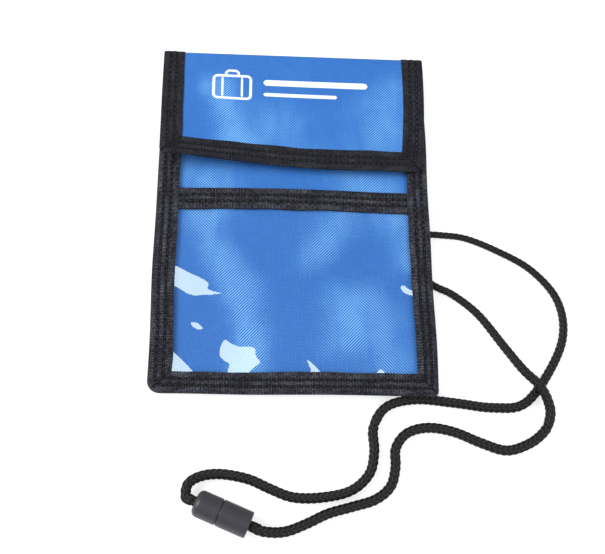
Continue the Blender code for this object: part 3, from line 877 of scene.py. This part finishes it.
def make_straight_tape(name, node_name, reach, width, slack, rows, seed):
    """A folded tape straight across the pouch, in a CAD tape's place. Gives its path and half its height."""
    low, high = node_box(node_name)
    middle, half = middle_and_half(low[2], high[2])
    half = max(half, TAPE_THICKNESS + slack)
    outer = np.array([(x, high[1], middle) for x in across(-reach, reach, TAPE_STEP)])
    facing = np.tile((0.0, 0.0, 1.0), (len(outer), 1))
    path = Path(outer, outer - (0.0, width, 0.0), facing, drape_body, width)
    [piece] = tape_along(name, path, half, seed, rows)
    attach(identify(piece, node_name, node_name), "pouch")
    return path, half


def make_window_tape():
    """The tape over the window pocket's mouth, with its two stitch rows."""
    reach = node_box("window_tape")[1][0]
    run = make_straight_tape("window_edge_tape", "window_tape", reach, TAPE_WIDTH, 0.25, STITCH_ROWS, 41)
    path, half = run
    for inset, node_name in zip(STITCH_ROWS, ("window_thread_upper", "window_thread_lower")):
        row = stitch_row(node_name + "_stitches", path, inset, half + STITCH_PROUD, STITCH_CLEAR, seed=51)
        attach(identify(row, node_name, node_name), "pouch")


def make_pocket_hem():
    """Tape folded over the main pocket's mouth, under the flap, with one stitch row."""
    low, high = node_box("pocket_hem")
    depth = high[1] - low[1]
    inset = depth - 2.0
    run = make_straight_tape("pocket_hem_tape", "pocket_hem", high[0] - EDGE_INSET, depth, 0.2, (inset,), 45)
    path, half = run
    row = stitch_row("pocket_hem_stitches", path, inset, half + STITCH_PROUD, 10.0, seed=47)
    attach(identify(row, "pocket_hem"), "pouch")


def flap_run():
    """The flap tape's path, and where its flat run starts and ends.

    It starts inside the pouch's tape, goes round the fold on the left, down, across and back over the fold.
    """
    hinge_y, hinge_z = FOLD_AXIS[1:]
    flap_z = PROFILE[-1][1]
    rise = flap_z - hinge_z
    flat = cup_run(HALF_WIDTH, FLAP_LOW[1], hinge_y - JOIN_GAP, FLAP_RADII, flap_z, drape_flap)
    lead = np.linspace(TUCK_LENGTH, 0.0, 4)[:-1]
    turns = np.linspace(-math.pi / 2, math.pi / 2, 17)[:-1]
    around = np.concatenate([np.full(len(lead), turns[0]), turns])
    y = hinge_y + np.concatenate([-lead, FOLD_REACH * np.cos(turns)])
    z = hinge_z + rise * np.sin(around)
    tuck = (1 - smooth(around, turns[0], turns[0] / 3)) * TUCK_INSET
    facing = np.stack([np.zeros(len(y)), np.cos(around), np.sin(around)], 1)
    left = np.column_stack([tuck - HALF_WIDTH, y, z])
    left_inner = np.column_stack([np.full(len(y), TAPE_WIDTH - HALF_WIDTH), y, z])
    outer, inner = (
        np.concatenate([near, middle, (near * (-1, 1, 1))[::-1]])
        for near, middle in ((left, flat.outer), (left_inner, flat.inner))
    )
    facing = np.concatenate([facing, flat.facing, facing[::-1]])
    mitres = [np.argmin(abs(flat.along - place)) + len(y) for place in flat.mitres]
    return Path(outer, inner, facing, drape_flap, mitres=mitres), (len(y), len(y) + len(flat.outer) - 1)


def make_flap_tape():
    """The binding round the flap, which follows the cloth over the fold."""
    path, cuts = flap_run()
    half = middle_and_half(FLAP_LOW[2], FLAP_HIGH[2])[1]
    left, flat, right = tape_along("flap_edge_tape", path, half, 61, material=FLAP_TAPE, cuts=cuts)
    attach(identify(flat, "flap_binding", "flap_binding"), "flap")
    for piece in (left, right):
        flatten_fold(identify(piece, "flap_binding"))
    threads = ("flap_thread_outer", "flap_thread_inner")
    stitch_both_faces(path, half + STITCH_PROUD, threads, "flap", (71, 71), STITCH_CLEAR)


# ---- the window

def rounded_outline(corners):
    """A closed outline with its corners cut twice, so that it curves."""
    line = np.array(corners, float)
    for _ in range(2):
        after = np.roll(line, -1, axis=0)
        line = np.stack([0.78 * line + 0.22 * after, 0.22 * line + 0.78 * after], 1).reshape(-1, 2)
    return line.tolist()


def inside_outline(x, y, corners):
    """How far inside a closed outline each place lies. Outside is negative."""
    inside = np.zeros(x.shape, bool)
    closed = corners + corners[:1]
    for (ax, ay), (bx, by) in zip(closed, closed[1:]):
        rise = by - ay if by != ay else 1.0
        inside ^= ((ay > y) != (by > y)) & (x < ax + (y - ay) * (bx - ax) / rise)
    nearest = distance_to(closed, x, y)
    return np.where(inside, nearest, -nearest)


# XY outlines of the dents that catch the lamp: a wing, a drop, a corner, a bird, a leaf, a fleck and a pod
GLARE_SHAPES = (
    ((-60, -27), (-55.8, -28.4), (-49, -31.9), (-41.6, -35.3), (-40, -37.4), (-41.0, -39.3), (-38.2, -40.5),
     (-32.8, -41.6), (-40, -42.9), (-49.4, -43.1), (-55.4, -39.2), (-60, -37)),
    ((-49.0, -55.8), (-46.7, -55.2), (-44.2, -56.2), (-41.8, -58.8), (-45.0, -59.7), (-47.7, -58.1)),
    ((-60, -66.5), (-55.4, -69.9), (-50.9, -73.9), (-45.6, -79.5), (-43, -86), (-60, -86)),
    ((-32.3, -63.2), (-29.1, -65.6), (-25.4, -67.0), (-19.7, -66.9), (-17.5, -68.2), (-17.6, -71.7),
     (-14.8, -74.8), (-18.5, -77.4), (-20.8, -80), (-20.8, -87), (-31.6, -87), (-30.9, -79.1),
     (-29.6, -75.4), (-32.2, -74.3), (-34.4, -72.3), (-34.9, -69.0), (-33.8, -66.0)),
    ((5.6, -73.0), (7.2, -73.8), (10.1, -76.3), (14.2, -81.2), (14.2, -87), (7.5, -87), (7.7, -78.6),
     (6.5, -76)),
    ((38.0, -79.3), (40.2, -77.0), (42.8, -79.4), (44, -86), (37, -86)),
    ((51.0, -36.5), (53.4, -36.0), (55.3, -38.2), (60, -39.4), (60, -41.6), (56.4, -41.7), (53.5, -40.8),
     (51.4, -39.1)),
)


def glare_depth(x, y):
    """How far inside a dent that catches the lamp each place on the window lies."""
    return np.max([inside_outline(x, y, rounded_outline(shape)) for shape in GLARE_SHAPES], axis=0)


def slack(x, y):
    """How far the clear sheet stands off its flat place: nothing at its sewn edges."""
    inside = smooth(HALF_WIDTH - TAPE_WIDTH - np.abs(x), 0, 14) * smooth(y + 78.0, 0, 14)
    return WINDOW_SLACK * inside * ripple(x, y, 83, 46.0)


def make_window():
    """The clear sheet: slack ripples, and dents that catch the lamp."""
    size = WINDOW_THICKNESS, WINDOW_STEP
    piece, grid = flat_sheet("window_clear_sheet", "window_sheet", *size, VINYL, slack)
    x, y = grid[..., 0], grid[..., 1]
    mirror = unit(unit(np.array(CAMERA_PLACE) / MM - grid) + unit(LAMP_PLACE - grid))
    share = smooth(glare_depth(x, y) + 0.10 * ripple(x, y, 91, 9.0), -0.3, 0.3)[..., None]
    facing = unit(grid_normals(grid) * (1 - share) + mirror * share)
    store(piece, "dent", np.tile(share.ravel(), 2))
    store(piece, "facing", np.tile(facing.reshape(-1, 3), (2, 1)), "FLOAT_VECTOR", "vector")


# ---- patches and print

def make_patch(name, node_name, body, drape, material, side):
    """A hook or loop patch: a thick pile with its tufts standing on one side."""
    low, high = node_box(node_name)
    middle, half = middle_and_half(low[2], high[2])
    xs, ys = across(low[0], high[0], PILE_STEP), across(low[1], high[1], PILE_STEP)[::-1]
    x, y = np.meshgrid(xs, ys, indexing="ij")
    tufts = np.random.default_rng(5).uniform(-0.12, 0.12, x.shape)
    grid = drape(np.stack([x, y, middle + side * tufts], -1))
    piece = shell(name, grid, 1.6 * half, material, np.stack([x, y], -1), 80.0)
    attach(identify(piece, node_name, node_name), body)


def stroke(points, width, height, closed=False):
    """A printed line along XY points on the flap, as points, faces and UVs of a thin closed skin."""
    line = np.array(points + points[:1] if closed else points, float)
    corners = np.concatenate([[0.0], np.cumsum(np.linalg.norm(np.diff(line, axis=0), axis=1))])
    length = corners[-1]
    s = np.linspace(0, length, max(4, int(length / PRINT_STEP)))
    xy = np.stack([np.interp(s, corners, line[:, i]) for i in range(2)], 1)
    ahead = np.gradient(xy, axis=0)
    reach = np.full(len(s), width / 2)
    if closed:
        ahead[0] = ahead[-1] = xy[1] - xy[-2]
    else:
        end = np.clip(np.minimum(s, length - s) / (width / 2), 0, 1)
        reach = width / 2 * np.sqrt(np.clip(1 - (1 - end) ** 2, 0.02, 1))
    side = unit(np.stack([-ahead[:, 1], ahead[:, 0]], 1))
    flat = xy[:, None, :] + side[:, None, :] * np.outer(reach, (-1, 0, 1))[..., None]
    grid = np.concatenate([flat, np.full((*flat.shape[:2], 1), height)], -1)
    skins = [drape_flap(grid - (0, 0, depth)).reshape(-1, 3) for depth in (0.0, PRINT_THICKNESS)]
    return np.concatenate(skins), skin_faces(len(s), 3, flip=True), np.tile(flat.reshape(-1, 2), (2, 1))


def rounded(centre, half, radius):
    """The outline of a rounded rectangle."""
    turns = np.radians(np.arange(0, 360, 15))
    corner = np.stack([np.sign(np.cos(turns + 1e-3)), np.sign(np.sin(turns + 1e-3))], 1)
    circle = np.stack([np.cos(turns), np.sin(turns)], 1) * radius
    return [tuple(p) for p in np.array(centre) + corner * (np.array(half) - radius) + circle]


def make_print():
    """A generic white print: a plain suitcase beside two plain bars."""
    height = PROFILE[-1][1] + CLOTH_THICKNESS / 2 + 0.05
    x, y = -32.0, FOLD_AXIS[1] - 17.0
    handle = [(-3.4, 7.0), (-3.1, 9.0), (-1.9, 9.9), (1.9, 9.9), (3.1, 9.0), (3.4, 7.0)]
    strokes = (
        (rounded((x, y), (9.5, 6.8), 2.2), 1.4, True),
        ([(x - 5.0, y - 6.0), (x - 5.0, y + 6.0)], 1.1, False),
        ([(x + 5.0, y - 6.0), (x + 5.0, y + 6.0)], 1.1, False),
        ([(x + dx, y + dy) for dx, dy in handle], 1.3, False),
        ([(-16.0, y + 3.4), (38.0, y + 3.4)], 3.4, False),
        ([(-16.0, y - 3.6), (22.0, y - 3.6)], 2.0, False),
    )
    parts = [stroke(points, width, height, closed) for points, width, closed in strokes]
    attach(identify(joined("flap_print", parts, INK), "flap_panel"), "flap")


# ---- the cord

def cad_rings(name, start):
    """The middle and radius of each ring of a CAD cord, in order from the end nearest to a point."""
    mesh = frame["nodes"][name].data
    places = np.array([vertex.co for vertex in mesh.vertices]) / MM
    points, merged = np.unique(places.round(2), axis=0, return_inverse=True)
    edges = merged.ravel()[np.array([edge.vertices for edge in mesh.edges])]
    ring = np.argsort(np.linalg.norm(points - start, axis=1))[:CAD_CORD_SIDES]
    seen, found = ring, []
    while len(ring):
        middle = points[ring].mean(axis=0)
        radius = np.linalg.norm(points[ring] - middle, axis=1).mean()
        if len(ring) == CAD_CORD_SIDES:
            found.append((*middle, radius))
        touching = edges[np.isin(edges, ring).any(axis=1)]
        ring = np.setdiff1d(touching, seen)
        seen = np.union1d(seen, ring)
    found = np.array(found)
    return found[found[:, 3] > 0.97 * np.median(found[:, 3])]


def spline_through(points, step):
    """Evenly spaced points on a smooth curve through the given ones, and how far along each lies."""
    lengths = np.linalg.norm(np.diff(points[:, :3], axis=0), axis=1)
    total = np.concatenate([[0.0], np.cumsum(lengths)])
    slopes = np.gradient(points, total, axis=0)
    along = np.linspace(0.0, total[-1], int(total[-1] / step))
    i = np.clip(np.searchsorted(total, along, side="right") - 1, 0, len(total) - 2)
    gap = (total[i + 1] - total[i])[:, None]
    t = (along - total[i])[:, None] / gap
    curve = (
        (2 * t**3 - 3 * t**2 + 1) * points[i] + (t**3 - 2 * t**2 + t) * gap * slopes[i]
        + (3 * t**2 - 2 * t**3) * points[i + 1] + (t**3 - t**2) * gap * slopes[i + 1]
    )
    return curve, along


def barrel_point(distance):
    """A point on the connector's axis, at a distance from its left end."""
    return BARREL_START + BARREL_AXIS * distance


def strand(side, last_nodes, entry):
    """A strand's whole centre line with its radius, from its sewn end to its bead in the connector."""
    sign = -1.0 if side == "left" else 1.0
    tail_low, tail_high = node_box("cord_end_" + side)
    z, radius = (tail_low[2] + tail_high[2]) / 2, (tail_high[2] - tail_low[2]) / 2
    outer = max(abs(tail_low[0]), abs(tail_high[0]))
    tail = ((outer, 0.35), (outer - 0.9, 1.0), (outer - 6.0, 1.0))
    rings = np.array([(sign * x, SWING_AXIS[1], z, radius * share) for x, share in tail])
    for name in ("cord_upper_" + side, "cord_lower_" + side, *last_nodes):
        rings = np.concatenate([rings, cad_rings(name, rings[-1][:3])])
    before_barrel = np.array([np.dot(ring[:3] - BARREL_START, BARREL_AXIS) for ring in rings])
    near = np.linalg.norm(rings[:, :3] - barrel_point(before_barrel[:, None]), axis=1) < 0.3
    inside = near & (before_barrel > -0.5) & (before_barrel < BARREL_LENGTH + 0.5)
    rings = rings[~inside]
    ends = np.array([(*barrel_point(distance), rings[-1][3]) for distance in entry])
    return spline_through(np.concatenate([rings, ends]), CORD_STEP)


def braid(name, line, along, first, last):
    """The stretch of braided cord between two lengths: columns of grains that lean alternate ways."""
    keep = (along >= first) & (along <= last)
    s, middle, radius = along[keep, None], line[keep, None, :3], line[keep, 3]
    ahead = unit(np.gradient(line[:, :3], axis=0))[keep]
    beside = unit(np.cross((0.0, 0.0, 1.0), ahead))
    turn = np.linspace(0.0, 2 * math.pi, CORD_SIDES, endpoint=False)
    column = turn / (2 * math.pi) * CORD_COLUMNS
    across_column = column % 1.0
    lean = np.where(np.floor(column) % 2 == 0, GRAIN_LEAN, -GRAIN_LEAN)
    grain = np.abs(np.cos(math.pi * (s / GRAIN_PITCH + lean * (across_column - 0.5)))) ** 0.75
    raised = grain * (0.35 + 0.65 * np.sin(math.pi * (across_column * 0.9 + 0.05)) ** 0.7)
    wobble = 1.0 + 0.012 * ripple(s, turn[None, :] * 3.0, 17, 30.0)
    reach = radius[:, None] * wobble * (1.0 - GRAIN_DEPTH + GRAIN_DEPTH * raised)
    rings = middle + directions(beside, np.cross(ahead, beside), turn) * reach[..., None]
    uv = np.stack(np.broadcast_arrays(s, turn * radius.mean()), -1)
    piece = sweep(name, rings, CORD, uv, 180.0)
    # raised also feeds the cord material's painted highlight on the grains and painted shade between them.
    store(piece, "raised", raised)
    return piece


def make_strand(side, last_nodes, entry, passed_x, upper_nodes, lower_node):
    """A strand's tail, upper and lower lengths. Gives the lower one."""
    line, along = strand(side, last_nodes, entry)
    x, y = line[:, 0], line[:, 1]
    start = along[np.argmax(y < SWING_AXIS[1] - 8.0)]
    bend = np.argmax(y < BEND_AXIS[1])
    past = along[bend + np.argmax(x[bend:] < passed_x)]
    tail = identify(braid(f"cord_{side}_tail", line, along, 0.0, start), CORD_SLOT, "cord_end_" + side)
    upper = identify(braid(f"cord_{side}_upper", line, along, start, past), CORD_SLOT, *upper_nodes)
    lower = identify(braid(f"cord_{side}_lower", line, along, past, along[-1]), CORD_SLOT, lower_node)
    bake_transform(tail)
    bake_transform(upper)
    return lower


def make_cord():
    """The left strand, which ends in the socket, and the right strand, which ends in the plug."""
    into_socket = (BARREL_LENGTH + 4.0, BARREL_LENGTH, BARREL_LENGTH - 6.0)
    upper_nodes = ("cord_upper_right", "cord_lower_right")
    left = make_strand("left", (), into_socket, BEND_AXIS[0] + 22.0, ("cord_upper_left",), "cord_lower_left")
    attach(left, "lanyard_lower")
    into_plug = (-4.0, 0.0, 4.5)
    right = make_strand("right", ("cord_plug_end",), into_plug, PULL_FROM + 2.0, upper_nodes, "cord_plug_end")
    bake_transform(right)


def make_bartack(side):
    """Close stitches over the cord's sewn end, which stay above the table."""
    low, high = node_box("bartack_" + side)
    tail_low, tail_high = node_box("cord_end_" + side)
    z, radius = (tail_low[2] + tail_high[2]) / 2, (tail_high[2] - tail_low[2]) / 2 + 0.22
    arc = np.linspace(0, math.pi, 17)
    ends, raised = np.array([radius + 1.0, radius + 0.25]), [z + radius + 1.6, z + 1.4]
    y = np.concatenate([ends, radius * np.cos(arc), -ends[::-1]])
    drop = np.concatenate([raised, z - radius * np.sin(arc), raised[::-1]])
    drop = np.maximum(drop, TABLE + BARTACK_THREAD)
    turn = np.linspace(0, 2 * math.pi, BARTACK_SIDES, endpoint=False)
    steps = np.arange(len(y))[:, None] * BARTACK_PITCH
    uv = np.stack(np.broadcast_arrays(steps, turn * BARTACK_THREAD), -1).reshape(-1, 2)
    parts = []
    for number, x in enumerate(across(low[0] + 0.3, high[0] - 0.3, BARTACK_PITCH)):
        lean = 0.25 * (-1) ** number * y / radius
        path = np.stack([x + lean, SWING_AXIS[1] + y, drop], 1)
        ahead = unit(np.gradient(path, axis=0))
        beside = np.broadcast_to((1.0, 0.0, 0.0), ahead.shape)
        rings = path[:, None] + BARTACK_THREAD * directions(beside, np.cross(ahead, beside), turn)
        parts.append((rings.reshape(-1, 3), bar_faces(len(path), BARTACK_SIDES), uv))
    piece = joined("bartack_stitches_" + side, parts, THREAD)
    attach(identify(piece, "bartack_" + side, "bartack_" + side), "pouch")


# ---- the connector

def soften(profile, size=0.35, steps=5):
    """A profile with its corners rounded off."""
    profile = np.array(profile, float)
    out = [profile[0]]
    for before, corner, after in zip(profile, profile[1:], profile[2:]):
        ways = before - corner, after - corner
        first, last = (corner + unit(way) * min(size, 0.45 * np.linalg.norm(way)) for way in ways)
        for t in np.linspace(0, 1, steps):
            out.append((1 - t) ** 2 * first + 2 * t * (1 - t) * corner + t**2 * last)
    return np.array(out + [profile[-1]])


def barrel_rings(profile, turn, uv_radius=BARREL_RADIUS, up=1.0):
    """Rings about the connector's axis through points of (radius, distance along it), with their UVs."""
    out = directions(np.cross((0.0, 0.0, 1.0), BARREL_AXIS), np.array((0.0, 0.0, up)), turn)
    radius, distance = profile[:, 0, None, None], profile[:, 1, None]
    uv = np.stack(np.broadcast_arrays(distance, turn * uv_radius), -1)
    return barrel_point(distance)[:, None, :] + radius * out, uv


def lathe(name, profile, material, closed=False):
    """A round piece on the connector's axis, from points of (radius, distance along it)."""
    turn = np.linspace(0, 2 * math.pi, BARREL_STEPS, endpoint=False)
    rings, uv = barrel_rings(profile, turn)
    if not closed:
        return sweep(name, rings, material, uv, 35.0)
    faces = np.array(grid_faces(len(profile) + 1, BARREL_STEPS, ring=True, flip=True))
    faces = (faces % (len(profile) * BARREL_STEPS)).tolist()
    return make_mesh(name, rings.reshape(-1, 3), faces, material, uv.reshape(-1, 2), 35.0)


def make_connector():
    """The two halves of the breakaway connector, the plug's split stem and the cord's melted ends."""
    r, seam, length = BARREL_RADIUS, BARREL_SEAM, BARREL_LENGTH
    collar, tip = seam + 0.4, np.linspace(0, math.pi / 2, 9)
    shoulder = np.stack([r - SHOULDER * (1 - np.cos(tip)), SHOULDER * (1 - np.sin(tip))], 1).tolist()
    plug = [
        (0.4, collar), (r - 0.45, collar), (r - 0.45, seam), (r - 0.1, seam), (r, seam - 0.1), *shoulder,
        (3.3, 0.0), (CORD_HOLE, 0.5), (CORD_HOLE, 3.0), (4.3, 3.0), (4.3, 8.4), (0.4, 8.4),
    ]
    shell_piece = lathe("plug_shell_moulding", soften(plug), PLASTIC)
    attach(identify(shell_piece, "plug_shell", "plug_shell"), "plug")
    front = seam + 0.5
    socket = [
        (r, length - 6.0), (r, front + 0.2), (r - 0.2, front), (3.5, front), (3.5, front + 1.5),
        (4.1, front + 2.1), (4.1, 20.4), (CORD_HOLE, 20.4), (CORD_HOLE, 22.0), (4.6, 22.4),
        (5.0, length - 0.6), (5.15, length), (r - 0.35, length), (r, length - 0.35), (r, length - 5.0),
    ]
    shell_piece = lathe("socket_shell_moulding", soften(socket, 0.25), PLASTIC, closed=True)
    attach(identify(shell_piece, "socket_shell", "socket_shell"), "socket")
    for number, up in enumerate((-1.0, 1.0)):
        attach(identify(make_prong(f"plug_stem_prong_{number}", up), "plug_shell"), "plug")
    turns = np.linspace(0.1 - math.pi / 2, math.pi / 2 - 0.1, 15)[::-1]
    beads = (("plug_bead", "plug_cord", 3.3, 6.5, 3.8), ("socket_bead", "lanyard_lower", 17.4, 20.1, 3.5))
    for name, body, low, high, radius in beads:
        along = (low + high) / 2 + (high - low) / 2 * np.sin(turns)
        bead = lathe(name + "_melt", np.stack([radius * np.cos(turns) ** 0.55, along], 1), CORD)
        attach(identify(bead, name, name), body)


def make_prong(name, up):
    """Half of the plug's stem: a D-shaped bar with a slight barb."""
    radius = (3.3, 3.3, 3.3, 3.4, 3.4, 3.2, 2.8)
    reach = (-0.4, 1.5, 3.0, 3.6, 4.4, 5.2, 5.6)
    gap = math.asin(PRONG_GAP / 2 / max(radius))
    turn = np.linspace(gap, math.pi - gap, 25)
    profile = np.column_stack([radius, np.add(reach, BARREL_SEAM)])[::-1]
    rings, uv = barrel_rings(profile, turn, max(radius), up)
    order = slice(None, None, -1 if up < 0 else 1)
    return sweep(name, rings[:, order], PLASTIC, uv[:, order], 35.0)


def build():
    """Every piece of the pouch, in order from its cloth to its connector."""
    make_back_and_flap()
    store_sheen(*flat_sheet("front_cloth", "front_panel", CLOTH_THICKNESS, CLOTH_STEP, CLOTH), FRONT_SHEEN_BANDS)
    make_body_tape()
    make_window_tape()
    make_flap_tape()
    make_window()
    make_patch("loop_patch_pile", "loop_patch", "pouch", drape_body, LOOPS, 1)
    make_patch("hook_patch_pile", "hook_patch", "flap", drape_flap, HOOKS, -1)
    make_print()
    make_pocket_hem()
    make_cord()
    make_bartack("left")
    make_bartack("right")
    make_connector()


build()


# ---- studio

def area_light(name, place, target, size, power, colour=(1, 1, 1)):
    """A flat lamp that faces its target."""
    light = bpy.data.lights.new(name, "AREA")
    light.shape = "RECTANGLE"
    light.size, light.size_y = size
    light.energy = power
    light.color = colour
    lamp = bpy.data.objects.new(name, light)
    lamp.location = place
    lamp.rotation_euler = (Vector(target) - Vector(place)).to_track_quat("-Z", "Y").to_euler()
    bpy.context.scene.collection.objects.link(lamp)
    return lamp


def make_floor():
    """A white floor that glows a little, so that shadows on it are light."""
    material, tree, shader = new_material("pale_floor")
    place = node(tree, "ShaderNodeTexCoord").outputs["Object"]
    cloud = noise(tree, place, 3.0, 2.0)
    colour = ramp(tree, cloud, 0.2, 0.8, ((0.44, 0.44, 0.44), (0.47, 0.47, 0.47)))
    tree.links.new(colour, shader.inputs["Base Color"])
    shader.inputs["Emission Color"].default_value = (1.0, 1.0, 1.0, 1.0)
    shader.inputs["Emission Strength"].default_value = 0.52 * WHITE_LEVEL
    shader.inputs["Roughness"].default_value = 0.9
    shader.inputs["Specular IOR Level"].default_value = 0.1
    bpy.ops.mesh.primitive_plane_add(size=8.0, location=(0, 0, (TABLE - 0.05) * MM))
    floor = bpy.context.object
    floor.name = "floor"
    floor.data.materials.append(material)


def make_world():
    """An even pale light, which the camera sees as white."""
    world = bpy.data.worlds.new("studio")
    world.use_nodes = True
    tree = world.node_tree
    background = tree.nodes["Background"]
    background.inputs["Color"].default_value = (0.95, 0.97, 1.0, 1.0)
    seen = node(tree, "ShaderNodeLightPath").outputs["Is Camera Ray"]
    strength = mixed(tree, seen, 0.55 * WHITE_LEVEL, 1.05)
    tree.links.new(strength, background.inputs["Strength"])
    bpy.context.scene.world = world


def make_camera():
    """The camera at the photo's viewpoint."""
    data = bpy.data.cameras.new("camera")
    data.lens = CAMERA_LENS
    data.sensor_width = 36.0
    data.clip_start = 0.01
    camera = bpy.data.objects.new("camera", data)
    look, up = Vector(CAMERA_LOOK).normalized(), Vector(CAMERA_UP).normalized()
    right = look.cross(up).normalized()
    turn = Matrix((right, right.cross(look), -look)).transposed()
    camera.matrix_world = Matrix.Translation(CAMERA_PLACE) @ turn.to_4x4()
    bpy.context.scene.collection.objects.link(camera)
    bpy.context.scene.camera = camera


def make_studio():
    """Floor, world, camera and lamps."""
    make_floor()
    make_world()
    make_camera()
    area_light("key", (-1.05, 0.15, 1.05), (0, 0, 0), (0.8, 0.8), 15.0 * WHITE_LEVEL)
    area_light("fill", (0.8, -0.5, 1.0), (0, 0, 0), (1.0, 1.0), 6.0 * WHITE_LEVEL)
    glint_power, glint_colour = 0.098 * WHITE_LEVEL, (0.73, 0.96, 0.97)
    area_light("glint", LAMP_PLACE * MM, (0, -0.04, 0), (0.17, 0.17), glint_power, glint_colour)
    bpy.context.scene.view_settings.view_transform = "Standard"


make_studio()
